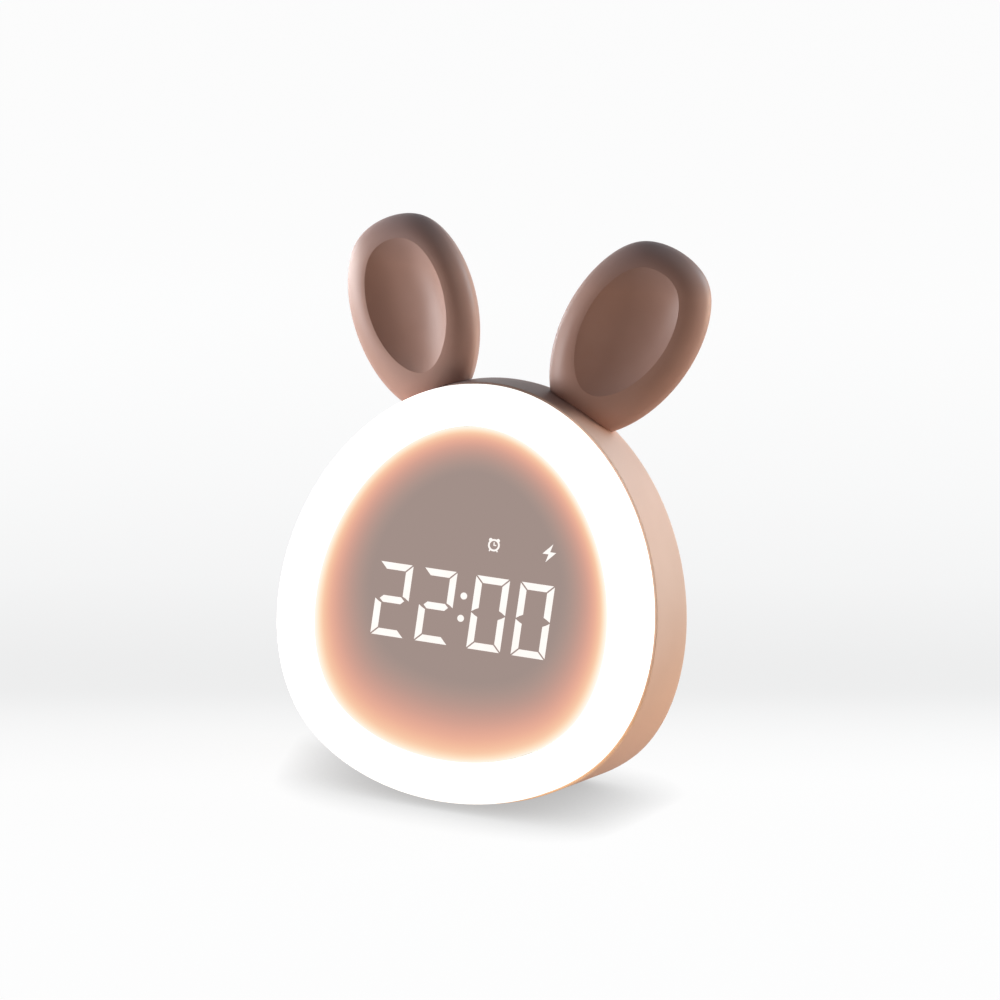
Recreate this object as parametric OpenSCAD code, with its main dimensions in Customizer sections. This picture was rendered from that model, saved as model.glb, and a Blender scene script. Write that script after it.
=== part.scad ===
// Rabbit-eared alarm clock with a night-light ring.
// X runs to the right, Y to the back, Z up. The origin is the middle of the underside
// of the base pad. The egg-shaped face leans back, and everything behind it is placed
// on the same leaning plane or on the upright back wall.

/* [Face] */
// Width of the light ring
ring_w = 118; // [108:1:130]
// Height of the light ring, along the leaning face
ring_h = 126.6; // [118:0.2:132]
// How much the egg narrows towards its top
egg_taper = 2; // [1:0.1:2.4]
// How full the egg is at its four corners
egg_fullness = 0.4; // [0:0.1:0.8]
// Lean of the face from upright
lean = 10; // [6:1:13]
// Height of the ring's lowest point above the table
face_z = 2.6; // [2.2:0.1:4]

/* [Light ring] */
// Width of the glowing band
band_w = 12.6; // [10:0.1:15]
// Depth of the ring's side wall
ring_d = 9; // [8:0.5:10]
// Thickness of the diffuser
diffuser_t = 2.5; // [2:0.1:3]
// Number of LEDs behind the ring
ring_led_n = 36; // [24:1:44]

/* [Display] */
// Thickness of the smoked lens
lens_t = 2; // [1.5:0.1:2.5]
// How far the lens lies behind the ring's crest
lens_sink = 1; // [0.6:0.1:1.4]
// Width of one digit
digit_w = 10.7; // [9:0.1:12]
// Height of one digit
digit_h = 22.3; // [18:0.1:25]
// Stroke of a segment
stroke = 2.1; // [1.6:0.1:2.4]
// Gap between two segments
segment_gap = 0.45; // [0.3:0.05:0.6]
// Slant of the digits
slant = 1.5; // [0:0.5:6]
// Step from one digit to the next
digit_pitch = 14.1; // [13.5:0.1:14.5]
// Extra room that the colon takes
colon_room = 2.6; // [2:0.1:4]
// Height of the digits' middle, along the face
digit_s = 58.6; // [50:0.1:62]
// Diameter of a colon dot
dot_d = 2.1; // [1.6:0.1:2.6]

/* [Shell] */
// Depth of the body at its foot, from the face to the back wall
body_d = 54; // [50:1:60]
// Wall thickness of the shell
wall = 2.2; // [1.8:0.1:2.6]
// How far the shell stands proud of the ring
shell_lip = 0.6; // [0.4:0.1:1]
// How much the shell widens towards its back
flare = 0.8; // [0:0.1:1.5]
// How far the back outline drops below the front one
back_drop = 5.6; // [4:0.1:8]
// How much the back outline narrows towards its top
back_taper = 2.3; // [1.4:0.1:2.6]
// How full the back outline is at its four corners
back_fullness = 0.9; // [0:0.1:1]
// Radius of the back edge
edge_r = 5; // [3.5:0.5:6]
// Thickness of the base pad
pad_t = 1; // [0.8:0.1:1.5]

/* [Ears] */
// Width of an ear
ear_w = 41.7; // [36:0.1:46]
// Length of an ear, with the part that the shell hides
ear_h = 62.8; // [56:0.2:68]
// Width of the dish in an ear
dish_w = 27.4; // [22:0.2:29]
// Length of the dish in an ear
dish_h = 43.6; // [38:0.2:46]
// Height of the rim in front of the ear's middle plane
rim_rise = 6.4; // [5:0.1:8]
// Depth of the dish behind its rim
dish_d = 4; // [3:0.1:4.5]
// How far the ear's back bulges
ear_back = 8.8; // [7:0.1:10]
// Outward splay of the ears
ear_splay = 25; // [20:1:28]
// Backward lean of the ears
ear_lean = 14; // [10:1:16]
// Outward turn of the ears
ear_toe = 8.5; // [4:0.5:12]
// Where the ears stand on the egg, as an angle from its lowest point
ear_at = 152.4; // [149:0.2:156]
// Distance from the shell's surface to the ear's middle
ear_reach = 23.5; // [20:0.5:26]
// Gap at the seam between an ear and the shell
seam = 0.2; // [0.1:0.05:0.3]

/* [Keys] */
// Diameter of a key cap
key_d = 8; // [7:0.5:9]
// Step between two keys
key_pitch = 16; // [15:0.5:17]
// Height of the key row above the table
key_z = 80; // [78:0.5:84]
// Travel of a key
key_travel = 0.5; // [0.3:0.05:0.6]
// How far a key cap stands out of the back wall
key_out = 1.4; // [1:0.1:2]
// Gap round a key cap
key_gap = 0.25; // [0.15:0.05:0.35]

/* [Inside] */
// Diameter of the loudspeaker
speaker_d = 28; // [24:1:30]
// Height of the loudspeaker's middle above the table
speaker_z = 55; // [52:1:57]
// Diameter of a grille hole
grille_hole_d = 1.8; // [1.2:0.1:2]
// Diameter of the battery cell
cell_d = 18.2; // [17:0.1:18.6]
// Length of the battery cell
cell_l = 65; // [60:1:66]
// Thickness of the circuit boards
board_t = 1.6; // [1:0.1:1.6]
// Distance from the back wall to the main board
board_off = 6.5; // [6.2:0.1:7]

/* [Hidden] */

fine = 48;
egg_n = 72;
ear_n = 56;
snug = 0.15;
tiny = 0.01;

pad_y = 30;
back_y = body_d - pad_y;
inner_y = back_y - wall;
board_y = inner_y - board_off;
floor_z = pad_t + wall;

lens_front = lens_sink;
lens_back = lens_sink + lens_t;
tray_front = 8;
tray_t = 2;
tray_back = tray_front + tray_t;

// ---- The egg: an outline given by its distance from the middle in each direction ----

function distance(a, w, h, taper, full) =
    (w + h) / 4 + (h - w) / 4 * cos(2 * a) - taper * cos(3 * a) + full * (1 - cos(4 * a));
function slope(a, w, h, taper, full) =
    -(h - w) / 2 * sin(2 * a) + 3 * taper * sin(3 * a) + 4 * full * sin(4 * a);

// Point of an oval, from its middle, with c mm added all round
function oval(a, c, w, h, taper, full) =
    let (r = distance(a, w, h, taper, full) + c, d = slope(a, w, h, taper, full))
    [r * sin(a) + d * cos(a), d * sin(a) - r * cos(a)];

function egg(a, c) = oval(a, c, ring_w, ring_h, egg_taper, egg_fullness);
function back_egg(a, c) = oval(a, c, ring_w, ring_h, back_taper, back_fullness);
egg_mid = -egg(0, 0)[1];
function egg_outline(c) = [for (i = [0:egg_n - 1]) egg(i * 360 / egg_n, c) + [0, egg_mid]];

// ---- The leaning face: s runs up the face, t runs from its front into the body ----

function on_face(x, s, t) = [
    x,
    s * sin(lean) + t * cos(lean) - pad_y,
    face_z + s * cos(lean) - t * sin(lean)
];
module face(t) {
    translate([0, -pad_y, face_z]) rotate([90 - lean, 0, 0]) translate([0, 0, -t]) children();
}
// Plate on the face, from depth t0 to the deeper t1
module slab(t0, t1) {
    face(t1) linear_extrude(t1 - t0) children();
}

// Points of the egg at depth t behind the face, and on an upright plane at y
function face_ring(c, t) = [for (p = egg_outline(c)) on_face(p[0], p[1], t)];
back_z = face_z + egg_mid * cos(lean) - back_drop;
function back_ring(c, y) =
    [for (i = [0:egg_n - 1]) let (p = back_egg(i * 360 / egg_n, c)) [p[0], y, back_z + p[1]]];

// Skin over a list of rings with equally many points, first ring in front.
// A closed skin joins the last ring to the first, an open one gets two end caps.
module skin(rings, closed = false) {
    n = len(rings[0]);
    m = len(rings);
    points = [for (r = rings) each r];
    sides = [
        for (i = [0:m - (closed ? 1 : 2)], j = [0:n - 1])
            let (a = i * n + j, b = i * n + (j + 1) % n, k = (i + 1) % m * n)
            each [[a, b, k + (j + 1) % n], [a, k + (j + 1) % n, k + j]]
    ];
    caps = [
        [for (j = [n - 1:-1:0]) j],
        [for (j = [0:n - 1]) (m - 1) * n + j]
    ];
    polyhedron(points, closed ? sides : concat(sides, caps), convexity = 6);
}

// ---- Shell ----

// Body of the shell as one solid, grown by c
module shell_form(c) {
    skin(concat(
        [face_ring(shell_lip + c - 0.4, ring_d - c), face_ring(shell_lip + c, ring_d + 0.4 - c)],
        [
            for (a = [0:22.5:90])
                back_ring(shell_lip + flare + c - (edge_r + c) * (1 - cos(a)),
                    back_y - edge_r + (edge_r + c) * sin(a))
        ]
    ));
}
// Hollow of the shell, open at the front
module shell_hollow() {
    r = edge_r - wall;
    intersection() {
        skin(concat(
            [face_ring(shell_lip - wall, ring_d - 2)],
            [
                for (a = [0:30:90])
                    back_ring(shell_lip + flare - wall - r * (1 - cos(a)), back_y - edge_r + r * sin(a))
            ]
        ));
        above(floor_z);
    }
}
module above(z) {
    translate([-ring_w, -ring_w, z]) cube([2 * ring_w, 2 * ring_w, 2 * ring_h]);
}

// Screw wells in the back wall, at x and z, one pair of them above the keys
well_at = [[38, 34], [31, key_z + 18]];
well_l = 12;
well_r = 4.2;
well_bore_r = 2.9;
well_floor_t = 2;
well_end_y = inner_y - well_l;
thread_r = 1.3;
thread_gap = 0.05;
pilot_r = thread_r + thread_gap;
case_screw_l = 10;
case_head_r = 2.6;
case_head_t = 1.8;
module at_wells() {
    for (p = well_at, side = [-1, 1]) translate([side * p[0], 0, p[1]]) children();
}
// Cylinder along +Y, from y0 to y1
module rod(r, y0, y1) {
    translate([0, y0, 0]) rotate([-90, 0, 0]) cylinder(r = r, h = y1 - y0, $fn = fine);
}

// Posts that carry the main board, at x and z
board_w = 64;
board_z0 = 24;
board_over_keys = 12;
board_z1 = key_z + board_over_keys;
post_inset = 3.5;
post_r = 2.5;
post_pilot_r = 0.95;
post_screw_l = 5;
post_head_r = 1.9;
post_head_t = 1.3;
module at_posts() {
    for (x = [-1, 1], z = [board_z0 + post_inset, board_z1 - post_inset])
        translate([x * (board_w / 2 - post_inset), 0, z]) children();
}

key_x = [for (i = [0:3]) (i - 1.5) * key_pitch];
flange_r = key_d / 2 + 1.2;
flange_t = 1.2;
field_d = 0.5;
field_r = key_d / 2 + 2.4;

usb_z = 32;
usb_w = 8.94;
usb_h = 3.2;
usb_wall = 0.3;
usb_gap = 0.3;
// Stadium across X, with its middle at z, along Y from y0 to y1
module stadium(w, h, y0, y1) {
    for (x = [-1, 1]) translate([x * (w - h) / 2, 0, 0]) rod(h / 2, y0, y1);
    translate([-(w - h) / 2, y0, -h / 2]) cube([w - h, y1 - y0, h]);
}

speaker_seat_t = 1.2;
grille_pitch = 3.4;
module grille(y0, y1) {
    translate([0, 0, speaker_z]) {
        rod(grille_hole_d / 2, y0, y1);
        for (ring = [1:3], i = [0:ring * 6 - 1])
            rotate([0, i * 60 / ring, 0]) translate([ring * grille_pitch, 0, 0])
                rod(grille_hole_d / 2, y0, y1);
    }
}

// Pegs of an ear, in the ear's own frame
peg_r = 3.2;
peg_gap = 0.1;
peg_step = 12;
peg_top = -12;
peg_end = -29;
boss_r = 4.8;
boss_l = 14;
boss_floor_t = 1.6;
ear_thread_r = 1.1;
ear_head_r = 2.2;
ear_head_t = 1.4;
ear_screw_l = 8;
washer_r = 3.8;
washer_t = 0.8;

// Point on the shell's side at angle a, a share v of the way to the back edge
function side_pt(a, v) =
    let (f = egg(a, shell_lip), b = back_egg(a, shell_lip + flare))
    (1 - v) * on_face(f[0], f[1] + egg_mid, ring_d) + v * [b[0], back_y - edge_r, back_z + b[1]];
ear_share = 0.85;
ear_axis = [
    sin(ear_splay),
    cos(ear_splay) * sin(ear_lean),
    cos(ear_splay) * cos(ear_lean)
];
ear_mid = side_pt(ear_at, ear_share) + ear_reach * ear_axis;
module ear_frame(side) {
    mirror([side < 0 ? 1 : 0, 0, 0])
        translate(ear_mid) rotate([-ear_lean, 0, 0]) rotate([0, ear_splay, 0]) rotate([0, 0, ear_toe])
            children();
}
module at_pegs() {
    for (x = [-1, 1]) translate([x * peg_step / 2, 0, 0]) children();
}

module rear_shell() {
    color("tan") difference() {
        union() {
            difference() {
                intersection() {
                    shell_form(0);
                    above(pad_t);
                }
                shell_hollow();
            }
            intersection() {
                shell_form(-wall / 2);
                union() {
                    at_wells() rod(well_r, well_end_y, back_y);
                    at_posts() rod(post_r, board_y, back_y);
                    translate([0, 0, speaker_z]) difference() {
                        rod(speaker_d / 2 + 1.5, inner_y - 2, back_y);
                        rod(speaker_d / 2 + 0.1, inner_y - 3, inner_y);
                    }
                    for (side = [-1, 1]) ear_frame(side) at_pegs()
                        translate([0, 0, peg_end]) cylinder(r = boss_r, h = boss_l, $fn = fine);
                }
            }
        }
        at_wells() {
            rod(well_bore_r, well_end_y + well_floor_t, back_y + 1);
            rod(thread_r + 0.3, well_end_y - 1, back_y);
        }
        at_posts() rod(post_pilot_r, board_y - 1, inner_y);
        for (x = key_x) translate([x, 0, key_z]) rod(key_d / 2 + key_gap, inner_y - 1, back_y + 1);
        translate([0, 0, key_z])
            stadium(3 * key_pitch + 2 * field_r, 2 * field_r, back_y - field_d, back_y + 1);
        translate([0, 0, usb_z])
            stadium(usb_w + 2 * usb_gap, usb_h + 2 * usb_gap, inner_y - 1, back_y + 1);
        grille(inner_y - 1, back_y + 1);
        for (side = [-1, 1]) ear_frame(side) at_pegs() {
            translate([0, 0, peg_end + boss_floor_t]) cylinder(r = peg_r + peg_gap, h = -peg_end, $fn = fine);
            translate([0, 0, peg_end - 1]) cylinder(r = ear_thread_r + 0.2, h = boss_l, $fn = fine);
        }
    }
}

// Outline of the shell's flat foot: wide at the back, narrow at the front
pad_front_w = 20;
pad_back_w = 50;
pad_depth = 34;
pad_r = 4;
module base_pad() {
    color("dimgray") linear_extrude(pad_t) hull()
        for (side = [-1, 1]) {
            translate([side * (pad_front_w / 2 - pad_r), -pad_depth / 2 + pad_r]) circle(pad_r, $fn = 32);
            translate([side * (pad_back_w / 2 - pad_r), pad_depth / 2 - pad_r]) circle(pad_r, $fn = 32);
        }
}

// ---- Ears ----

// Ring of an ear: w is 0 at its outline and 1 at the edge of its dish, y is its depth
dish_shift = 0.9;
dish_rise = 1.8;
ear_taper = -0.78;
dish_taper = -0.42;
ear_full = -0.53;
dish_full = -0.29;
ear_rise = 1.6;
function mix(a, b, w) = a + (b - a) * w;
function ear_ring(w, y) =
    let (
        k = min(w, 1),
        shrink = w > 1 ? 2 - w : 1,
        ow = mix(ear_w, dish_w, k) * shrink,
        oh = mix(ear_h, dish_h, k) * shrink,
        taper = mix(ear_taper, dish_taper, k) * shrink,
        full = mix(ear_full, dish_full, k) * shrink
    )
    [
        for (i = [0:ear_n - 1])
            let (p = oval(i * 360 / ear_n, 0, ow, oh, taper, -full))
            [p[0] - dish_shift * k, y, p[1] + ear_rise + dish_rise * k]
    ];
// The dish is a bowl that ends in a crease, and the rim rolls from the crease to the ear's outline
crease = 0.97;
bowl_power = 2.6;
function bowl_y(r) = dish_d * (1 - pow(r, bowl_power)) - crease * rim_rise;
module pebble() {
    bowl = [0.2, 0.42, 0.62, 0.8, 0.92, 0.98];
    rim = [[1, crease], [0.85, 1], [0.65, 0.95], [0.45, 0.82], [0.27, 0.63], [0.12, 0.4], [0.03, 0.18], [0, 0]];
    back = [[0.05, 0.28], [0.18, 0.54], [0.42, 0.77], [0.8, 0.92], [1.3, 1]];
    skin(concat(
        [for (r = bowl) ear_ring(2 - r, bowl_y(r))],
        [for (p = rim) ear_ring(p[0], -rim_rise * p[1])],
        [for (p = back) ear_ring(p[0], ear_back * p[1])]
    ));
}
module ear(side) {
    difference() {
        union() {
            difference() {
                ear_frame(side) pebble();
                shell_form(seam);
            }
            ear_frame(side) at_pegs() translate([0, 0, peg_end + boss_floor_t])
                cylinder(r = peg_r, h = peg_top - peg_end - boss_floor_t, $fn = fine);
        }
        ear_frame(side) at_pegs() translate([0, 0, peg_end])
            cylinder(r = ear_thread_r + thread_gap, h = ear_screw_l + 1, $fn = fine);
    }
}
module ear_left() {
    color("rosybrown") ear(-1);
}
module ear_right() {
    color("rosybrown") ear(1);
}
module ear_washers() {
    color("silver") for (side = [-1, 1]) ear_frame(side) at_pegs() translate([0, 0, peg_end - washer_t])
        difference() {
            cylinder(r = washer_r, h = washer_t, $fn = fine);
            translate([0, 0, -1]) cylinder(r = ear_thread_r + 0.2, h = washer_t + 2, $fn = fine);
        }
}
// Pan-head screw along +Z, its head's underside at z = 0
module screw(r, l, head_r, head_h) {
    cylinder(r = r, h = l, $fn = 32);
    translate([0, 0, -head_h]) difference() {
        cylinder(r = head_r, h = head_h, $fn = 32);
        for (a = [0, 90]) rotate([0, 0, a])
            translate([-head_r * 0.6, -head_r * 0.12, -tiny]) cube([head_r * 1.2, head_r * 0.24, head_h / 2]);
    }
}
module ear_screws() {
    color("silver") for (side = [-1, 1]) ear_frame(side) at_pegs()
        translate([0, 0, peg_end - washer_t]) screw(ear_thread_r, ear_screw_l, ear_head_r, ear_head_t);
}

// ---- Light ring, lens and tray ----

lens_c = -band_w - snug;
lip_w = 1.5;
// Spigot of the ring: it centres the ring in the shell's mouth, and its bead snaps behind the tray
mate = 0.05;
bead = 0.7;
spigot_c = shell_lip - wall - snug;
spigot_t = 1.4;
spigot_end = tray_back + 2 * bead + mate;
ring_in_c = spigot_c - spigot_t;
// The shell's floor is flat, so the spigot stops just above it
module below(z) {
    translate([0, 0, z]) mirror([0, 0, 1]) above(0);
}
module light_ring() {
    profile = [
        [-3, 0], [-1.5, 0.4], [-0.4, 1.5], [0, 3], [0, ring_d - mate],
        [spigot_c, ring_d - mate], [spigot_c, spigot_end], [ring_in_c, spigot_end],
        [ring_in_c - bead, spigot_end - bead], [ring_in_c, tray_back + mate],
        [ring_in_c, diffuser_t + 1.2], [ring_in_c - 1.2, diffuser_t],
        [-band_w + lip_w, diffuser_t], [-band_w + lip_w, lens_back - mate], [-band_w, lens_back - mate],
        [-band_w, 1.4], [-band_w + 0.5, 0.5], [-band_w + 1.6, 0]
    ];
    color("ivory") difference() {
        skin([for (p = profile) face_ring(p[0], p[1])], closed = true);
        intersection() {
            slab(ring_d - mate, spigot_end + 1) square(3 * ring_h, center = true);
            below(floor_z + snug);
        }
    }
}

// Segments of a digit, each as an outline in a cell of digit_w by digit_h
seg_cut = segment_gap / sqrt(2);
function segment(k) =
    let (w = digit_w, h = digit_h, m = digit_h / 2, g = seg_cut, t = stroke)
    k == 0 ? [[g, h], [w - g, h], [w - t - g, h - t], [t + g, h - t]]
    : k == 1 ? [[w, h - g], [w, m + g / 2], [w - t / 2, m + g / 2 + t / 3], [w - t, m + t / 2 + g], [w - t, h - t - g]]
    : k == 2 ? [[w, m - g / 2], [w, g], [w - t, t + g], [w - t, m - t / 2 - g], [w - t / 2, m - g / 2 - t / 3]]
    : k == 3 ? [[g, 0], [t + g, t], [w - t - g, t], [w - g, 0]]
    : k == 4 ? [[0, g], [0, m - g / 2], [t / 2, m - g / 2 - t / 3], [t, m - t / 2 - g], [t, t + g]]
    : k == 5 ? [[0, m + g / 2], [0, h - g], [t, h - t - g], [t, m + t / 2 + g], [t / 2, m + g / 2 + t / 3]]
    : [
        [t / 2 + 1.2 * g, m], [t + 1.4 * g, m + t / 2], [w - t - 1.4 * g, m + t / 2],
        [w - t / 2 - 1.2 * g, m], [w - t - 1.4 * g, m - t / 2], [t + 1.4 * g, m - t / 2]
    ];
// Segments that light up for each figure shown, from a at the top round to g in the middle
lit = [[0, 1, 3, 4, 6], [0, 1, 3, 4, 6], [0, 1, 2, 3, 4, 5], [0, 1, 2, 3, 4, 5]];
function is_in(k, list) = len(search(k, list)) > 0;
row_w = 3 * digit_pitch + digit_w + colon_room;
row_shift = 0.6;
function digit_x(i) = -row_w / 2 + row_shift + i * digit_pitch + (i > 1 ? colon_room : 0);
colon_x = (digit_x(1) + digit_w + digit_x(2)) / 2;
colon_step = 6.8;
function lean_x(p, x0) = [x0 + p[0] + (p[1] - digit_h / 2) * tan(slant), p[1] + digit_s - digit_h / 2];
module segments(shown) {
    for (i = [0:3], k = [0:6])
        if (is_in(k, lit[i]) == shown)
            polygon([for (p = segment(k)) lean_x(p, digit_x(i))]);
}
module colon() {
    for (v = [-1, 1]) translate([colon_x + v * colon_step / 2 * tan(slant), digit_s + v * colon_step / 2 + 0.9])
        circle(d = dot_d, $fn = 32);
}
// Twin-bell clock and charging bolt, above the digits
icon_s = digit_s + digit_h / 2 + 9.6;
clock_x = 8.2;
bolt_x = 25.7;
icon_d = 3.7;
icon_ring = 0.55;
module clock_icon() {
    translate([clock_x, icon_s]) {
        difference() {
            union() {
                circle(d = icon_d, $fn = 40);
                for (v = [-1, 1]) {
                    rotate(v * 38) translate([0, icon_d / 2 + 0.05]) circle(d = 1.1, $fn = 20);
                    rotate(v * 145) translate([-0.2, icon_d / 2 - 0.3]) square([0.4, 0.75]);
                }
            }
            circle(d = icon_d - 2 * icon_ring, $fn = 32);
        }
        translate([-0.16, -0.16]) square([0.32, 1.05]);
        translate([-0.16, -0.16]) square([0.9, 0.32]);
    }
}
module bolt_icon() {
    translate([bolt_x, icon_s])
        polygon([[0.9, 2.8], [-2.1, -0.35], [-0.2, -0.35], [-0.9, -2.8], [2.1, 0.35], [0.2, 0.35]]);
}

module display_lens() {
    color("rosybrown") slab(lens_front, lens_back) difference() {
        polygon(egg_outline(lens_c));
        segments(true);
        segments(false);
        colon();
        clock_icon();
        bolt_icon();
    }
}
module lit_segments() {
    color("white") slab(lens_front, lens_back) {
        segments(true);
        colon();
    }
}
module unlit_segments() {
    color("rosybrown") slab(lens_front, lens_back) segments(false);
}
module status_icons() {
    color("white") slab(lens_front, lens_back) {
        clock_icon();
        bolt_icon();
    }
}

box_w = row_w + 7;
box_s0 = digit_s - digit_h / 2 - 3;
box_s1 = icon_s + 5;
module box_outline(grow = 0) {
    translate([row_shift - box_w / 2 - grow, box_s0 - grow])
        square([box_w + 2 * grow, box_s1 - box_s0 + 2 * grow]);
}
tray_boss_r = 3.4;
module light_tray() {
    color("white") difference() {
        union() {
            slab(tray_front, tray_back) polygon(egg_outline(ring_in_c - snug));
            slab(lens_back, tray_front) difference() {
                polygon(egg_outline(lens_c));
                polygon(egg_outline(lens_c - 1.6));
            }
            intersection() {
                at_wells() rod(tray_boss_r, -pad_y, well_end_y);
                slab(tray_back, tray_back + body_d) polygon(egg_outline(0));
            }
        }
        slab(tray_front - 1, tray_back + 1) box_outline(0.4);
        at_wells() rod(pilot_r, well_end_y - case_screw_l + 1, well_end_y + 1);
    }
}
board_c0 = ring_in_c - bead;
board_c1 = -band_w + 1;
ring_board_t = 1.2;
module ring_board() {
    color("seagreen") slab(tray_front - ring_board_t, tray_front) difference() {
        polygon(egg_outline(board_c0));
        polygon(egg_outline(board_c1));
    }
}
led_l = 3.5;
led_w = 2.8;
led_t = 0.8;
module ring_leds() {
    mid_c = (board_c0 + board_c1) / 2;
    top = tray_front - ring_board_t;
    color("khaki") slab(top - led_t, top)
        for (i = [0:ring_led_n - 1]) {
            a = i * 360 / ring_led_n;
            translate(egg(a, mid_c) + [0, egg_mid]) rotate(a)
                square([led_l, led_w], center = true);
        }
}

display_board_t = board_t;
box_back = tray_back;
module display_box() {
    color("whitesmoke") slab(lens_back, box_back) difference() {
        box_outline();
        segments(true);
        segments(false);
        colon();
        clock_icon();
        bolt_icon();
    }
}
module display_board() {
    color("darkgreen") slab(box_back, box_back + display_board_t) box_outline(1.5);
}
// One small LED under the middle of each segment, dot and icon
chip = 1.2;
bolt_chip = 0.7;
clock_chip = 0.4;
chip_t = 0.6;
function middle(list) = [for (k = [0, 1]) let (v = [for (p = list) p[k]]) (max(v) + min(v)) / 2];
module segment_leds() {
    color("khaki") slab(box_back - chip_t, box_back) {
        for (i = [0:3], k = [0:6])
            translate(lean_x(middle(segment(k)), digit_x(i))) square(chip, center = true);
        for (v = [-1, 1]) translate([colon_x + v * colon_step / 2 * tan(slant), digit_s + v * colon_step / 2 + 0.9])
            square(chip, center = true);
        translate([bolt_x, icon_s]) square(bolt_chip, center = true);
        translate([clock_x + icon_d / 2 - icon_ring / 2, icon_s]) square(clock_chip, center = true);
    }
}

// ---- Boards, keys and socket on the back wall ----

module main_board() {
    color("darkgreen") difference() {
        translate([-board_w / 2, board_y - board_t, board_z0]) cube([board_w, board_t, board_z1 - board_z0]);
        at_posts() rod(post_pilot_r + 0.15, board_y - board_t - 1, board_y + 1);
    }
}
module board_screws() {
    color("silver") at_posts() translate([0, board_y - board_t, 0]) rotate([-90, 0, 0])
        screw(post_pilot_r - thread_gap, post_screw_l, post_head_r, post_head_t);
}
switch_w = 6;
switch_t = 3.4;
plunger_r = 1.7;
module tact_switches() {
    color("dimgray") for (x = key_x) translate([x, 0, key_z]) difference() {
        translate([-switch_w / 2, board_y, -switch_w / 2]) cube([switch_w, switch_t, switch_w]);
        rod(plunger_r + 0.08, board_y + switch_t - 1.6, board_y + switch_t + 1);
    }
}
key_back = inner_y - flange_t;
key_dish_r = 22;
key_dish_d = 0.4;
module key(i) {
    translate([key_x[i], 0, key_z]) {
        rod(flange_r, key_back, inner_y);
        difference() {
            rod(key_d / 2, key_back, back_y + key_out);
            translate([0, back_y + key_out + key_dish_r - key_dish_d, 0]) sphere(r = key_dish_r, $fn = 96);
        }
    }
}
module plunger(i) {
    translate([key_x[i], 0, key_z])
        rod(plunger_r, board_y + switch_t - 1.6 + key_travel + 0.2, key_back);
}
module key_set() {
    color("sienna") key(0);
}
module key_down() {
    color("sienna") key(1);
}
module key_up() {
    color("sienna") key(2);
}
module key_light() {
    color("sienna") key(3);
}
module plunger_set() {
    color("black") plunger(0);
}
module plunger_down() {
    color("black") plunger(1);
}
module plunger_up() {
    color("black") plunger(2);
}
module plunger_light() {
    color("black") plunger(3);
}

usb_mouth = back_y - 0.6;
module usb_socket() {
    color("silver") translate([0, 0, usb_z]) difference() {
        stadium(usb_w, usb_h, board_y, usb_mouth);
        stadium(usb_w - 2 * usb_wall, usb_h - 2 * usb_wall, board_y + 1, usb_mouth + 1);
    }
}
tongue_w = 6.7;
tongue_t = 0.7;
module usb_tongue() {
    color("black") translate([-tongue_w / 2, board_y + 1, usb_z - tongue_t / 2])
        cube([tongue_w, usb_mouth - board_y - 2, tongue_t]);
}

// ---- Loudspeaker ----

speaker_t = 4.6;
basket_wall = 1;
cone_r = speaker_d / 2 - basket_wall - 0.2;
magnet_r = 7;
module speaker_basket() {
    color("dimgray") translate([0, 0, speaker_z]) difference() {
        rod(speaker_d / 2, inner_y - speaker_t, inner_y);
        rod(cone_r, inner_y - speaker_t + basket_wall, inner_y + 1);
        rod(magnet_r + snug, inner_y - speaker_t - 1, inner_y);
    }
}
module speaker_cone() {
    r = cone_r - 0.05;
    y = inner_y - speaker_t + basket_wall;
    color("black") translate([0, 0, speaker_z]) rotate([-90, 0, 0]) rotate_extrude($fn = 72)
        polygon([
            [0, y + 1.5], [4, y + 1.2], [r - 2.5, y + 2.4], [r - 1.2, y + 2.9], [r, y + 2.4],
            [r, y + 1.9], [r - 1.2, y + 2.4], [r - 2.5, y + 1.9], [4, y + 0.7], [0, y + 1]
        ]);
}
module speaker_magnet() {
    color("silver") translate([0, 0, speaker_z])
        rod(magnet_r, inner_y - speaker_t - 0.5, inner_y - speaker_t + basket_wall + 0.4);
}

// ---- Battery ----

cell_z = floor_z + 5 + cell_d / 2;
cell_y = 3;
cradle_w = 40;
cradle_d = 16;
cradle_gap = 0.1;
cradle_top = cell_z - 4;
// Cylinder along X round the cell's axis
module along_cell(r, w) {
    translate([-w / 2, cell_y, cell_z]) rotate([0, 90, 0]) cylinder(r = r, h = w, $fn = fine);
}
module battery_cradle() {
    color("whitesmoke") difference() {
        translate([-cradle_w / 2, cell_y - cradle_d / 2, floor_z])
            cube([cradle_w, cradle_d, cradle_top - floor_z]);
        along_cell(cell_d / 2 + cradle_gap, cradle_w + 2);
    }
}
module battery_cell() {
    color("royalblue") {
        along_cell(cell_d / 2, cell_l);
        translate([cell_l / 2, 0, 0]) along_cell(cell_d / 6, 2);
    }
}
strap_w = 12;
strap_t = 0.8;
module battery_strap() {
    color("black") intersection() {
        difference() {
            along_cell(cell_d / 2 + cradle_gap + strap_t, strap_w);
            along_cell(cell_d / 2 + cradle_gap, strap_w + 1);
        }
        above(cradle_top);
    }
}

// ---- Cables ----

// Tube of radius r along a list of points, with an even-sided section
lead_sides = 8;
function unit(v) = v / norm(v);
function tangent(p, i) = unit(p[min(i + 1, len(p) - 1)] - p[max(i - 1, 0)]);
function tube_ring(c, t, r) =
    let (
        u = unit(cross(t, abs(t[2]) > 0.9 ? [1, 0, 0] : [0, 0, 1])),
        v = cross(t, u)
    )
    [for (j = [0:lead_sides - 1]) let (a = -j * 360 / lead_sides) c + r * (cos(a) * u + sin(a) * v)];
module tube(p, r) {
    skin([for (i = [0:len(p) - 1]) tube_ring(p[i], tangent(p, i), r)]);
}
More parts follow.
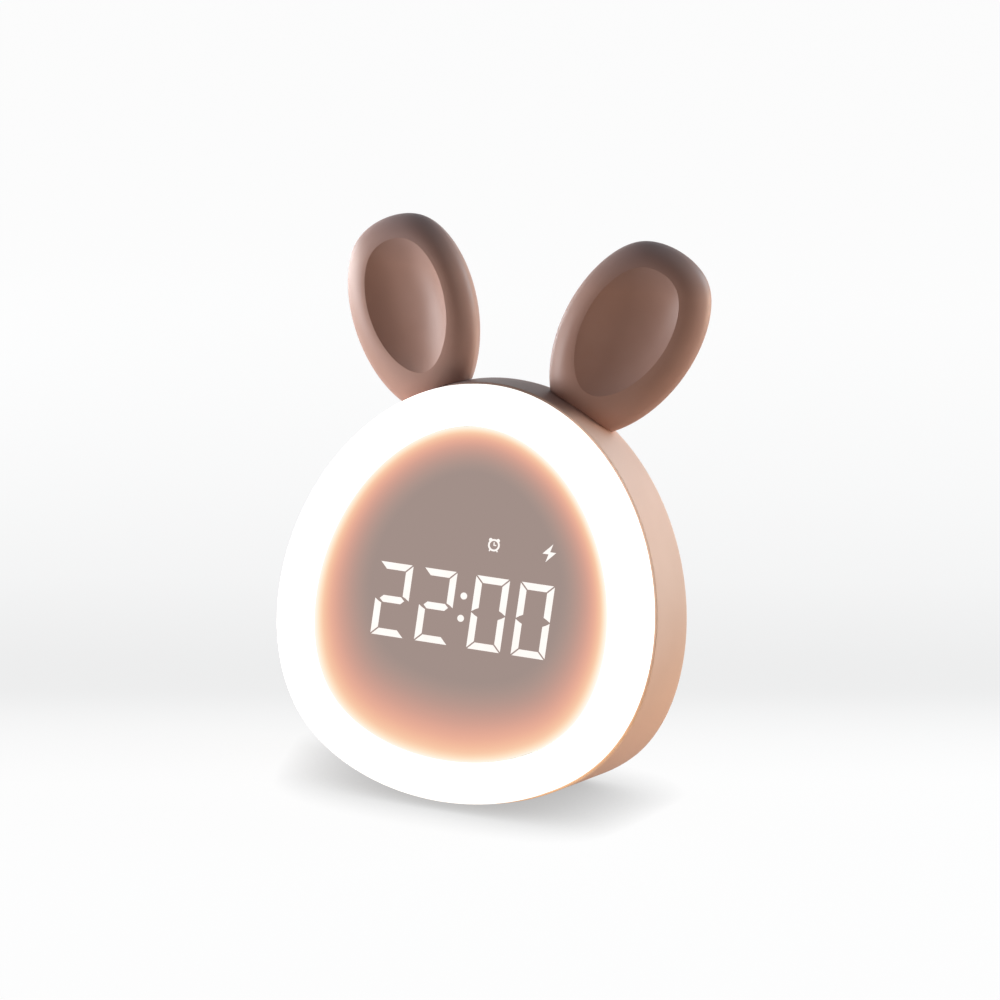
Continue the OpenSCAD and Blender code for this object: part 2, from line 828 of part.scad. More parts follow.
// Point of a soft bend through four corner points, at share s
function bend(p, s) =
    pow(1 - s, 3) * p[0] + 3 * s * pow(1 - s, 2) * p[1] + 3 * s * s * (1 - s) * p[2] + pow(s, 3) * p[3];
lead_r = 0.6;
lead_gap = 0.3;
lead_step = 2.5;
module lead(p) {
    tube([for (i = [0:12]) bend(p, i / 12)], lead_r);
}
// Sockets for the two pairs of leads: battery on the board's front, loudspeaker on its back
socket_w = 7;
socket_h = 5;
socket_t = 4;
battery_socket_z = board_z0 + 12;
speaker_socket_z = board_z0 + 9;
speaker_socket_x = 17;
front_y = board_y - board_t;
module lead_sockets() {
    color("whitesmoke") {
        translate([-socket_w / 2, front_y - socket_t, battery_socket_z - socket_h / 2])
            cube([socket_w, socket_t, socket_h]);
        translate([speaker_socket_x - socket_w / 2, board_y, speaker_socket_z - socket_h / 2])
            cube([socket_w, socket_t, socket_h]);
    }
}
module speaker_leads() {
    start_z = speaker_z - speaker_d / 2 - lead_gap;
    end_z = speaker_socket_z + socket_h / 2 + lead_gap;
    y0 = inner_y - speaker_t + 1;
    y1 = board_y + socket_t / 2;
    color("red") for (v = [-0.5, 0.5])
        lead([
            [v * lead_step, y0, start_z], [v * lead_step, y0, start_z - 5 + v * 4],
            [speaker_socket_x + v * lead_step, y1, end_z + 6 + v * 4],
            [speaker_socket_x + v * lead_step, y1, end_z]
        ]);
}
module battery_leads() {
    end_x = cell_l / 2 + lead_r;
    start_z = cell_z + 5;
    bulge = 13;
    rise = 7;
    tail = 9;
    y1 = front_y - socket_t - lead_gap;
    color("red") for (side = [-1, 1])
        lead([
            [side * end_x, cell_y, start_z], [side * (end_x + bulge), cell_y, start_z + rise],
            [side * lead_step / 2, y1 - tail, battery_socket_z], [side * lead_step / 2, y1, battery_socket_z]
        ]);
}
ribbon_w = 14;
ribbon_t = 0.5;
module display_ribbon() {
    back_t = box_back + display_board_t;
    s = (box_s0 + box_s1) / 2;
    p0 = on_face(0, s, back_t + lead_gap);
    p3 = [0, front_y - lead_gap, p0[2] - 2];
    p = [p0, on_face(0, s, back_t + 8), p3 - [0, 6, 0], p3];
    path = [for (i = [0:12]) bend(p, i / 12)];
    color("lightgray") translate([-ribbon_w / 2, 0, 0]) rotate([90, 0, 90]) linear_extrude(ribbon_w)
        polygon(concat(
            [for (q = path) [q[1], q[2] + ribbon_t / 2]],
            [for (i = [12:-1:0]) [path[i][1], path[i][2] - ribbon_t / 2]]
        ));
}
module case_screws() {
    color("silver") at_wells() translate([0, well_end_y + well_floor_t, 0]) rotate([90, 0, 0])
        screw(thread_r, case_screw_l, case_head_r, case_head_t);
}

rear_shell();
base_pad();
ear_left();
ear_right();
ear_washers();
ear_screws();
light_ring();
display_lens();
lit_segments();
unlit_segments();
status_icons();
light_tray();
ring_board();
ring_leds();
display_box();
display_board();
segment_leds();
display_ribbon();
main_board();
board_screws();
tact_switches();
key_set();
key_down();
key_up();
key_light();
plunger_set();
plunger_down();
plunger_up();
plunger_light();
usb_socket();
usb_tongue();
speaker_basket();
speaker_cone();
speaker_magnet();
speaker_leads();
lead_sockets();
battery_cradle();
battery_cell();
battery_strap();
battery_leads();
case_screws();
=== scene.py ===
# %% [markdown]
# # A rabbit-eared alarm clock with a night-light ring
# The clock is an egg-shaped cup of pale pink plastic. A milky ring closes its front and glows all round, a
# smoked mirror sits inside the ring, and two dished ears stand on its top. Every part of it already exists
# as a CAD solid with its real size. This lesson loads those solids as a fixed frame and gives them their
# looks. Where a solid is only as round as its facets, a finer mesh takes its place, made from the same
# rules.

import math

import bpy
from mathutils import Matrix, Vector


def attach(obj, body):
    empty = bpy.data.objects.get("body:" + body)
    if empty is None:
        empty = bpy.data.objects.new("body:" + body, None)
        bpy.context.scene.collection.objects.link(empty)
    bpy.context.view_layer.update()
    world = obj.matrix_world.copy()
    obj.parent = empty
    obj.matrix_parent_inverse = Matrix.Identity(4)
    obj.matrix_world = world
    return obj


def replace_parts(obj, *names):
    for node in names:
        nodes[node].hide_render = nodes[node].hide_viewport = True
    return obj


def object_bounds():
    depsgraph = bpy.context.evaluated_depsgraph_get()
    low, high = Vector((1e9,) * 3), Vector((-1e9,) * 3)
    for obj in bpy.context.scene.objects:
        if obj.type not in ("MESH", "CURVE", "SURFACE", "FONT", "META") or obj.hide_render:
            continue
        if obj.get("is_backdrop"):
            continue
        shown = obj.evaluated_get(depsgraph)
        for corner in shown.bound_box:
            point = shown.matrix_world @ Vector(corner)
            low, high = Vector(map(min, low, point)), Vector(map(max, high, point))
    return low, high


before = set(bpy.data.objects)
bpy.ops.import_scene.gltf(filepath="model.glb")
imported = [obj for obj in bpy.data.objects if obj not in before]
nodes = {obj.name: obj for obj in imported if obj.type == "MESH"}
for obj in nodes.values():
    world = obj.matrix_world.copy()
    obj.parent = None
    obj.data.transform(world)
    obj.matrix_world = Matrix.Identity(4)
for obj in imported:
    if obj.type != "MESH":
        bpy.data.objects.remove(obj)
cad_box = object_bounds()

# %% [markdown]
# ## The egg
# One curve shapes the whole clock, so it comes first. It is written as the distance of the outline from the
# middle in each direction: a mean radius and three waves. The wave of 2 makes it taller than wide, the wave
# of 3 narrows its top, and the wave of 4 fills its corners. The slope of the waves gives the rest of the
# point. The reason for writing it this way is that adding a constant moves the outline outwards by just
# that amount everywhere, which is what walls, gaps and rims need.

# %% Sizes of the clock, in millimetres
MM = 0.001
WIDTH = 118.0
HEIGHT = 126.6
FRONT_WAVES = {2: (HEIGHT - WIDTH) / 4, 3: -2.0, 4: -0.4}
BACK_WAVES = {2: (HEIGHT - WIDTH) / 4, 3: -2.3, 4: -0.9}
LEAN = math.radians(10)
FACE_Z = 2.6
FOOT_Y = 30.0
BODY_DEPTH = 54.0
WALL = 2.2
RING_DEPTH = 9.0
BAND = 12.6
PAD = 1.0
BACK_DROP = 5.6
BACK_Y = BODY_DEPTH - FOOT_Y
INNER_Y = BACK_Y - WALL
AROUND = 216


def egg(angle, grow, waves):
    """Point of the egg's outline from its middle, with grow mm added all round."""
    distance = (WIDTH + HEIGHT) / 4 - waves[4] + grow
    slope = 0.0
    for count, amount in waves.items():
        distance += amount * math.cos(count * angle)
        slope -= count * amount * math.sin(count * angle)
    across = distance * math.sin(angle) + slope * math.cos(angle)
    up = slope * math.sin(angle) - distance * math.cos(angle)
    return across, up


EGG_MID = -egg(0, 0, FRONT_WAVES)[1]
BACK_Z = FACE_Z + EGG_MID * math.cos(LEAN) - BACK_DROP
print("Egg:", WIDTH, "mm wide, its middle", round(EGG_MID, 2), "mm above its lowest point")

# %% [markdown]
# ## Leaning face, upright back
# The face leans back and the back wall is upright. Two small functions place an outline on either one: s
# runs up the face and t into the body, and a ring on the back stands at its own y.


# %% Rings of points on the face and on the back
def on_face(x, s, t):
    y = s * math.sin(LEAN) + t * math.cos(LEAN) - FOOT_Y
    z = FACE_Z + s * math.cos(LEAN) - t * math.sin(LEAN)
    return Vector((x, y, z)) * MM


def turns(count):
    return [2 * math.pi * i / count for i in range(count)]


def face_ring(grow, t, count=AROUND):
    outline = [egg(a, grow, FRONT_WAVES) for a in turns(count)]
    return [on_face(x, EGG_MID + s, t) for x, s in outline]


def back_ring(grow, y, count=AROUND):
    outline = [egg(a, grow, BACK_WAVES) for a in turns(count)]
    return [Vector((x, y, BACK_Z + z)) * MM for x, z in outline]


# %% [markdown]
# ## A skin over rings
# Most pieces here are a stack of rings with equally many points, and a skin of four-sided faces between
# them. The two ends get a lid, so the solid is closed, and its faces point outwards when the rings go from
# front to back.


# %% Build a mesh from rings
def mesh_piece(name, points, faces):
    mesh = bpy.data.meshes.new(name)
    mesh.from_pydata([tuple(p) for p in points], [], faces)
    mesh.validate()
    piece = bpy.data.objects.new(name, mesh)
    bpy.context.scene.collection.objects.link(piece)
    return piece


def skin(name, rings):
    """Closed solid over rings, first ring in front."""
    count = len(rings[0])
    faces = []
    for row in range(len(rings) - 1):
        for i in range(count):
            a, b = row * count + i, row * count + (i + 1) % count
            faces.append((a, a + count, b + count, b))
    last = (len(rings) - 1) * count
    faces.append(tuple(range(count)))
    faces.append(tuple(range(last + count - 1, last - 1, -1)))
    return mesh_piece(name, [p for ring in rings for p in ring], faces)


def make_plain(piece):
    """Turns what the modifiers give into the piece's own mesh."""
    evaluated = piece.evaluated_get(bpy.context.evaluated_depsgraph_get())
    mesh = bpy.data.meshes.new_from_object(evaluated)
    piece.modifiers.clear()
    piece.data = mesh
    return piece


def combine(piece, operation, *others):
    """Exact Boolean of a piece with other solids, which are used up."""
    for other in others:
        modifier = piece.modifiers.new(operation, "BOOLEAN")
        modifier.operation = operation
        modifier.solver = "EXACT"
        modifier.object = other
    make_plain(piece)
    for other in others:
        bpy.data.objects.remove(other)
    return piece


def soften(piece, degrees=32):
    """Smooth shading that keeps the edges sharper than this angle."""
    piece.data.shade_smooth()
    piece.data.set_sharp_from_angle(angle=math.radians(degrees))
    return piece


def report(piece):
    low, high = [Vector(c) for c in (piece.bound_box[0], piece.bound_box[6])]
    size = [round(v / MM, 1) for v in high - low]
    print(f"{piece.name}: {len(piece.data.polygons)} faces, {size} mm")


# %% [markdown]
# ## Colours
# Colours are written as red, green and blue from 0 to 255, as a paint chart gives them. Blender works with
# light, so each is turned from that scale into linear light once, here.


# %% Colour helpers
def light_of(value):
    value /= 255
    return value / 12.92 if value <= 0.04045 else ((value + 0.055) / 1.055) ** 2.4


def paint(red, green, blue):
    return (light_of(red), light_of(green), light_of(blue), 1.0)


def new_material(name):
    material = bpy.data.materials.new(name)
    material.use_nodes = True
    tree = material.node_tree
    return material, tree, tree.nodes["Principled BSDF"]


def node(tree, kind, **settings):
    made = tree.nodes.new(kind)
    for key, value in settings.items():
        setattr(made, key, value)
    return made


def join(tree, source, target):
    tree.links.new(source, target)


def calc(tree, operation, *inputs):
    """One maths node. Each input is a number or another node's output."""
    made = node(tree, "ShaderNodeMath", operation=operation)
    for socket, value in zip(made.inputs, inputs):
        if isinstance(value, bpy.types.NodeSocket):
            join(tree, value, socket)
        else:
            socket.default_value = value
    return made.outputs[0]


def ramp(tree, factor, stops):
    """Colour ramp through (place, colour) stops."""
    made = node(tree, "ShaderNodeValToRGB")
    made.color_ramp.interpolation = "B_SPLINE" if len(stops) > 4 else "LINEAR"
    elements = made.color_ramp.elements
    while len(elements) < len(stops):
        elements.new(0.5)
    for element, (place, colour) in zip(elements, stops):
        element.position = place
        element.color = colour
    join(tree, factor, made.inputs["Fac"])
    return made.outputs["Color"]


def noise(tree, scale, detail=3.0):
    """Noise on the piece's own coordinates, so that it moves with the piece."""
    place = node(tree, "ShaderNodeTexCoord")
    made = node(tree, "ShaderNodeTexNoise")
    made.inputs["Scale"].default_value = scale
    made.inputs["Detail"].default_value = detail
    join(tree, place.outputs["Object"], made.inputs["Vector"])
    return made.outputs["Fac"]


def add_bump(tree, shader, height, distance, strength):
    bump = node(tree, "ShaderNodeBump")
    bump.inputs["Strength"].default_value = strength
    bump.inputs["Distance"].default_value = distance
    join(tree, height, bump.inputs["Height"])
    join(tree, bump.outputs["Normal"], shader.inputs["Normal"])


# %% [markdown]
# ## Moulded plastic
# The shell and ears are moulded and then coated with a soft matt paint. Such a coat isn't one flat colour:
# it is a little redder here and paler there, and its skin has a very fine grain. Two noises do that, a wide
# one for the colour and a fine one for the grain.
#
# Light from the floor and the room is also painted into a coat in bands: warm painted light at the foot
# and cool, dark painted shade at the top. Such a band is a tint that follows the height. The shell's back
# has none: its coat is plain there.
# The shell's thin front edge also lets through some of the ring's light, most of it near the foot.


# %% Plastic material
def plastic(name, light, dark, roughness, grain=900.0, depth=0.00002):
    material, tree, shader = new_material(name)
    shader.inputs["Specular IOR Level"].default_value = 0.4
    tone = ramp(tree, noise(tree, 35.0), [(0.35, dark), (0.65, light)])
    join(tree, tone, shader.inputs["Base Color"])
    shader.inputs["Roughness"].default_value = roughness
    add_bump(tree, shader, noise(tree, grain, 2.0), depth, 0.5)
    return material


def painted_light_by_height(material, stops):
    """Multiplies the coat's colour by painted light and shade by height. Stops are (height in mm, tint)."""
    tree = material.node_tree
    shader = tree.nodes["Principled BSDF"]
    place = node(tree, "ShaderNodeSeparateXYZ")
    join(tree, node(tree, "ShaderNodeTexCoord").outputs["Object"], place.inputs["Vector"])
    bottom, reach = stops[0][0], stops[-1][0] - stops[0][0]
    share = calc(tree, "DIVIDE", calc(tree, "SUBTRACT", place.outputs["Z"], bottom * MM), reach * MM)
    tint = ramp(tree, share, [((height - bottom) / reach, colour) for height, colour in stops])
    mix = node(tree, "ShaderNodeMix", data_type="RGBA", blend_type="MULTIPLY")
    mix.inputs["Factor"].default_value = 1.0
    join(tree, shader.inputs["Base Color"].links[0].from_socket, mix.inputs["A"])
    join(tree, tint, mix.inputs["B"])
    join(tree, mix.outputs["Result"], shader.inputs["Base Color"])
    return place, mix


# Painted light and shade of the shell by height in mm: warm light at the foot, dark shade at the top between
# the ears.
SHELL_PAINTED_LIGHT_AND_SHADE = [
    (10, paint(234, 214, 190)),
    (28, paint(234, 215, 192)),
    (40, paint(231, 217, 198)),
    (56, paint(224, 220, 214)),
    (74, paint(227, 230, 229)),
    (92, paint(255, 255, 255)),
    (118.5, paint(255, 255, 255)),
    (121, paint(190, 186, 190)),
    (125, paint(125, 116, 123)),
]
# Painted shade of the ears by height in mm: cooler and darker towards their tops.
EAR_PAINTED_SHADE = [(155, paint(255, 255, 255)), (171, paint(196, 208, 224))]
# The painted light and shade fade out over this many mm in front of the back.
PAINTED_LIGHT_FADE = 5.0
LOW_FROM, LOW_TO = 50.0, 10.0  # heights between which the edge's glow grows towards the foot
EDGE_GLOW, FOOT_GLOW = 1.2, 9.0
EDGE_POWER, FOOT_POWER = 0.06, 0.3


def shell_coat():
    """The shell's coat, with painted warm light near the foot, painted shade on top, and the ring's light in
    its thin front edge.
    """
    material = plastic("shell_paint", paint(234, 201, 186), paint(229, 195, 179), 0.5)
    tree = material.node_tree
    shader = tree.nodes["Principled BSDF"]
    place, mix = painted_light_by_height(material, SHELL_PAINTED_LIGHT_AND_SHADE)
    before_back = calc(tree, "SUBTRACT", BACK_Y * MM, place.outputs["Y"])
    join(tree, calc(tree, "DIVIDE", before_back, PAINTED_LIGHT_FADE * MM), mix.inputs["Factor"])
    behind = calc(tree, "ADD", place.outputs["Y"], FOOT_Y * MM)
    above = calc(tree, "SUBTRACT", place.outputs["Z"], FACE_Z * MM)
    behind = calc(tree, "MULTIPLY", behind, math.cos(LEAN))
    above = calc(tree, "MULTIPLY", above, math.sin(LEAN))
    depth = calc(tree, "SUBTRACT", calc(tree, "SUBTRACT", behind, above), RING_DEPTH * MM)
    below = calc(tree, "SUBTRACT", LOW_FROM * MM, place.outputs["Z"])
    low = calc(tree, "DIVIDE", below, (LOW_FROM - LOW_TO) * MM)
    low = calc(tree, "MINIMUM", calc(tree, "MAXIMUM", low, 0.0), 1.0)
    reach = calc(tree, "MULTIPLY_ADD", calc(tree, "POWER", low, 4.0), FOOT_GLOW * MM, EDGE_GLOW * MM)
    left = calc(tree, "MAXIMUM", calc(tree, "SUBTRACT", 1.0, calc(tree, "DIVIDE", depth, reach)), 0.0)
    power = calc(tree, "MULTIPLY_ADD", low, FOOT_POWER, EDGE_POWER)
    glow = calc(tree, "MULTIPLY", calc(tree, "MULTIPLY", left, left), power)
    join(tree, glow, shader.inputs["Emission Strength"])
    shader.inputs["Emission Color"].default_value = paint(255, 210, 155)
    return material


shell_paint = shell_coat()
# The ears' paint is darker than the shell's; part of that darkness is painted shade.
ear_paint = plastic("ear_paint", paint(190, 151, 137), paint(183, 143, 128), 0.46)
# The ears' tops get painted shade, cooler and darker.
painted_light_by_height(ear_paint, EAR_PAINTED_SHADE)
print("Plastic:", shell_paint.name, ear_paint.name)

# %% [markdown]
# ## The glowing ring
# The ring is a milky diffuser: a rounded band in front, a side wall that glows as well, and a spigot that
# goes into the shell. It has one section all the way round, so Geometry Nodes suit it. The tree draws the
# egg from its rule, rounds the corners of the section, and sweeps it along.

# %% Section of the ring, from the middle of its front to the spigot and back along the inside
RING_SECTION = [
    (-3, 0),
    (-1.5, 0.4),
    (-0.4, 1.5),
    (0, 3),
    (0, 8.95),
    (-1.75, 8.95),
    (-1.75, 11.45),
    (-3.15, 11.45),
    (-3.85, 10.75),
    (-3.15, 10.05),
    (-3.15, 3.7),
    (-4.35, 2.5),
    (1.5 - BAND, 2.5),
    (1.5 - BAND, 2.95),
    (-BAND, 2.95),
    (-BAND, 1.4),
    (0.5 - BAND, 0.5),
    (1.6 - BAND, 0),
]


def section_curve(name, points):
    curve = bpy.data.curves.new(name, "CURVE")
    spline = curve.splines.new("POLY")
    spline.points.add(len(points) - 1)
    spline.use_cyclic_u = True
    for point, (grow, t) in zip(spline.points, points):
        point.co = (grow * MM, t * MM, 0, 1)
    made = bpy.data.objects.new(name, curve)
    bpy.context.scene.collection.objects.link(made)
    return made


# %% [markdown]
# The tree below is the same rule as the egg function, written with maths nodes: the angle comes from the
# index of each point, the waves are added up, and the result is the position of that point. Its inputs have
# names, and a modifier reads each one by the identifier that the socket got when it was made.


# %% Geometry Nodes tree that sweeps a section along the egg
def tree_with_inputs(name, inputs):
    """New tree with these inputs, and with the turn, shift and material of its result."""
    tree = bpy.data.node_groups.new(name, "GeometryNodeTree")
    tree.interface.new_socket("Geometry", in_out="OUTPUT", socket_type="NodeSocketGeometry")
    identifiers = {}
    for label, kind in {**inputs, "Turn": "Rotation", "Shift": "Vector", "Material": "Material"}.items():
        socket = tree.interface.new_socket(label, in_out="INPUT", socket_type="NodeSocket" + kind)
        identifiers[label] = socket.identifier
    return tree, node(tree, "NodeGroupInput").outputs, identifiers


def end_tree(tree, given, geometry):
    """Places the result, makes its instances real and gives it its material."""
    move = node(tree, "GeometryNodeTransform")
    join(tree, geometry, move.inputs["Geometry"])
    join(tree, given["Turn"], move.inputs["Rotation"])
    join(tree, given["Shift"], move.inputs["Translation"])
    real = node(tree, "GeometryNodeRealizeInstances")
    join(tree, move.outputs["Geometry"], real.inputs["Geometry"])
    coat = node(tree, "GeometryNodeSetMaterial")
    join(tree, real.outputs["Geometry"], coat.inputs["Geometry"])
    join(tree, given["Material"], coat.inputs["Material"])
    join(tree, coat.outputs["Geometry"], node(tree, "NodeGroupOutput").inputs["Geometry"])


def egg_position(tree, given):
    turn = calc(tree, "DIVIDE", 2 * math.pi, given["Points"])
    angle = calc(tree, "MULTIPLY", node(tree, "GeometryNodeInputIndex").outputs[0], turn)
    distance, slope = given["Mean radius"], 0.0
    for count, label in ((2, "Tall wave"), (3, "Egg wave"), (4, "Corner wave")):
        inside = calc(tree, "MULTIPLY", angle, float(count))
        wave = calc(tree, "MULTIPLY", given[label], calc(tree, "COSINE", inside))
        rise = calc(tree, "MULTIPLY", given[label], calc(tree, "SINE", inside))
        distance = calc(tree, "ADD", distance, wave)
        slope = calc(tree, "MULTIPLY_ADD", rise, float(-count), slope)
    sine, cosine = calc(tree, "SINE", angle), calc(tree, "COSINE", angle)
    across = calc(tree, "ADD", calc(tree, "MULTIPLY", distance, sine), calc(tree, "MULTIPLY", slope, cosine))
    up = calc(tree, "SUBTRACT", calc(tree, "MULTIPLY", slope, sine), calc(tree, "MULTIPLY", distance, cosine))
    place = node(tree, "ShaderNodeCombineXYZ")
    join(tree, across, place.inputs["X"])
    join(tree, up, place.inputs["Y"])
    return place.outputs["Vector"]


def sweep_tree():
    floats = ("Mean radius", "Tall wave", "Egg wave", "Corner wave", "Corner radius")
    inputs = {"Points": "Int", **{label: "Float" for label in floats}, "Section": "Object"}
    tree, given, identifiers = tree_with_inputs("sweep_along_egg", inputs)
    circle = node(tree, "GeometryNodeCurvePrimitiveCircle")
    join(tree, given["Points"], circle.inputs["Resolution"])
    path = node(tree, "GeometryNodeSetPosition")
    join(tree, circle.outputs["Curve"], path.inputs["Geometry"])
    join(tree, egg_position(tree, given), path.inputs["Position"])
    level = node(tree, "GeometryNodeSetCurveNormal", mode="Z_UP")
    join(tree, path.outputs[0], level.inputs["Curve"])
    section = node(tree, "GeometryNodeObjectInfo")
    join(tree, given["Section"], section.inputs["Object"])
    fillet = node(tree, "GeometryNodeFilletCurve", mode="POLY")
    fillet.inputs["Count"].default_value = 5
    fillet.inputs["Limit Radius"].default_value = True
    join(tree, section.outputs["Geometry"], fillet.inputs["Curve"])
    join(tree, given["Corner radius"], fillet.inputs["Radius"])
    mark = node(tree, "GeometryNodeStoreNamedAttribute", data_type="FLOAT", domain="POINT")
    mark.inputs["Name"].default_value = "across"
    join(tree, fillet.outputs["Curve"], mark.inputs["Geometry"])
    join(tree, node(tree, "GeometryNodeSplineParameter").outputs["Factor"], mark.inputs["Value"])
    sweep = node(tree, "GeometryNodeCurveToMesh")
    join(tree, level.outputs["Curve"], sweep.inputs["Curve"])
    join(tree, mark.outputs["Geometry"], sweep.inputs["Profile Curve"])
    end_tree(tree, given, sweep.outputs["Mesh"])
    return tree, identifiers


def run_tree(name, tree, identifiers, values):
    """A new piece with the mesh that a tree gives for these inputs."""
    piece = mesh_piece(name, [], [])
    modifier = piece.modifiers.new("nodes", "NODES")
    modifier.node_group = tree
    for label, value in values.items():
        modifier[identifiers[label]] = value
    return make_plain(piece)


# %% [markdown]
# The ring's light is even, so its surface is a plain emission over milky plastic. Only its inner edge is
# creamier, where the light has gone through more of the plastic. The attribute that the tree stored says
# how far round the section each point is, and a ramp turns it into that colour.


# %% Milky, glowing plastic
def glowing_plastic():
    material, tree, shader = new_material("glowing_diffuser")
    shader.inputs["Roughness"].default_value = 0.42
    place = node(tree, "ShaderNodeAttribute", attribute_name="across").outputs["Fac"]
    white, cream = paint(255, 254, 250), paint(254, 244, 226)
    tone = ramp(tree, place, [(0.0, paint(255, 254, 252)), (0.84, white), (0.9, cream), (0.97, white)])
    join(tree, tone, shader.inputs["Emission Color"])
    shader.inputs["Emission Strength"].default_value = 0.98
    milk = ramp(tree, noise(tree, 60.0), [(0.3, paint(226, 220, 210)), (0.7, paint(232, 226, 217))])
    join(tree, milk, shader.inputs["Base Color"])
    return material


section = section_curve("ring_section", RING_SECTION)
ring_tree, ring_inputs = sweep_tree()
light_ring = run_tree(
    "glow_ring",
    ring_tree,
    ring_inputs,
    {
        "Points": AROUND,
        "Mean radius": ((WIDTH + HEIGHT) / 4 - FRONT_WAVES[4]) * MM,
        "Tall wave": FRONT_WAVES[2] * MM,
        "Egg wave": FRONT_WAVES[3] * MM,
        "Corner wave": FRONT_WAVES[4] * MM,
        "Corner radius": 1.2 * MM,
        "Section": section,
        "Turn": (math.pi / 2 - LEAN, 0.0, 0.0),
        "Shift": on_face(0, EGG_MID, 0),
        "Material": glowing_plastic(),
    },
)
bpy.data.objects.remove(section)
soften(light_ring)
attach(light_ring, "clock")
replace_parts(light_ring, "light_ring")
report(light_ring)

# %% [markdown]
# ## The smoked mirror
# The display's front is a plate of smoked mirror glass. The ring shines into its edge, so it glows cream
# and peach there and falls to a grey mauve in the middle. The glow reaches deeper at the foot than at the
# top. The plate is made of nested copies of the egg, parallel near the edge and shrunk towards the middle
# further in. Each point keeps its distance from the edge as an attribute, which drives the glow.

# %% Lens plate with its distance from the edge
LENS_GAP = 0.15
LENS_GROW = -BAND - LENS_GAP
LENS_FRONT = 1.05
LENS_BACK = 3.0
PARALLEL = 17
MIDDLE_REACH = WIDTH / 2 + LENS_GROW - PARALLEL
MIDDLE_STEPS = 20
GLOW_TOP = 13.8
GLOW_FOOT = 38.0
GLOW_SLANT = 0.12
LOW_START, LOW_REACH = 0.1, 0.55
EDGE_STEP = 0.08
EDGE_REACH = 1.3


def lens_plate():
    steps = (0.0, 0.5, *range(1, PARALLEL + 1))
    rings = [(step, face_ring(LENS_GROW - step, LENS_FRONT)) for step in steps]
    last = rings[-1][1]
    middle = sum(last, Vector()) / AROUND
    for step in range(1, MIDDLE_STEPS):
        share = step / MIDDLE_STEPS
        rings.append((PARALLEL + share * MIDDLE_REACH, [p.lerp(middle, share) for p in last]))
    piece = skin("smoked_lens", [*[ring for _, ring in reversed(rings)], face_ring(LENS_GROW, LENS_BACK)])
    depths = [depth for depth, _ in reversed(rings) for _ in range(AROUND)] + [0.0] * AROUND
    glow = piece.data.attributes.new("glow", "FLOAT", "POINT")
    for i, (vertex, depth) in enumerate(zip(piece.data.vertices, depths)):
        height = (vertex.co.z / MM - FACE_Z) / HEIGHT
        low = (1 - min(1.0, max(0.0, (height - LOW_START) / LOW_REACH))) ** 2
        reach = GLOW_TOP + (GLOW_FOOT - GLOW_TOP) * low
        reach *= 1 - GLOW_SLANT * vertex.co.x / (WIDTH / 2 * MM)
        step = EDGE_STEP * low
        glow.data[i].value = step * (1 - math.exp(-depth / EDGE_REACH)) + (1 - step) * depth / reach
    return piece


UNEVEN = 0.06


def smoked_glass():
    material, tree, shader = new_material("smoked_glass")
    distance = node(tree, "ShaderNodeAttribute", attribute_name="glow").outputs["Fac"]
    middle = calc(tree, "SUBTRACT", distance, UNEVEN / 2)
    uneven = calc(tree, "MULTIPLY_ADD", noise(tree, 30.0), UNEVEN, middle)
    glow = ramp(
        tree,
        uneven,
        [
            (0.0, paint(255, 252, 244)),
            (0.07, paint(255, 232, 200)),
            (0.15, paint(248, 194, 156)),
            (0.27, paint(233, 168, 144)),
            (0.42, paint(207, 154, 137)),
            (0.6, paint(183, 145, 133)),
            (0.8, paint(164, 140, 131)),
            (1.0, paint(153, 134, 127)),
        ],
    )
    join(tree, glow, shader.inputs["Emission Color"])
    shader.inputs["Emission Strength"].default_value = 0.97
    shader.inputs["Base Color"].default_value = paint(24, 20, 19)
    shader.inputs["Roughness"].default_value = 0.3
    return material


lens = lens_plate()
lens.data.materials.append(smoked_glass())
soften(lens)
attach(lens, "clock")
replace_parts(lens, "display_lens", "unlit_segments")
report(lens)

# %% [markdown]
# ## The shell
# The shell is a cup. Its outside is a skin from the front lip to the flat back, with a round edge between
# them, and its hollow is the same rule with the wall taken off. Screw wells, board posts, the loudspeaker's
# seat and the bosses of the ears stand inside. Then the openings are cut: Booleans are the plain way to do
# it, because the back is flat and every opening goes straight through.

# %% Outside and hollow of the shell
LIP = 0.6
LIP_ROUND = 0.4
FLARE = 0.8
SIDE_STEPS = 13
EDGE_RADIUS = 5.0
BACK_STEP = 0.4  # flat strip between the round edge and the lid of the back
FLOOR_Z = PAD + WALL
BIG = 200.0
CUT = 1.0  # how far a cutter reaches past the face that it opens


def quarter(count):
    return [math.pi / 2 * i / count for i in range(count + 1)]


def shell_solid(name, grow):
    """The outside of the shell, grown by so many mm."""
    rings = []
    for a in quarter(4):
        inset, depth = LIP_ROUND * (1 - math.sin(a)), LIP_ROUND * (1 - math.cos(a))
        rings.append(face_ring(LIP + grow - inset, RING_DEPTH - grow + depth))
    side_front = face_ring(LIP + grow, RING_DEPTH - grow + LIP_ROUND)
    side_back = back_ring(LIP + FLARE + grow, BACK_Y - EDGE_RADIUS)
    for step in range(1, SIDE_STEPS):
        rings.append([a.lerp(b, step / SIDE_STEPS) for a, b in zip(side_front, side_back)])
    radius = EDGE_RADIUS + grow
    for a in quarter(10):
        inset = radius * (1 - math.cos(a))
        rings.append(back_ring(LIP + FLARE + grow - inset, BACK_Y - EDGE_RADIUS + radius * math.sin(a)))
    rings.append(back_ring(LIP + FLARE - EDGE_RADIUS - BACK_STEP, BACK_Y + grow))
    return skin(name, rings)


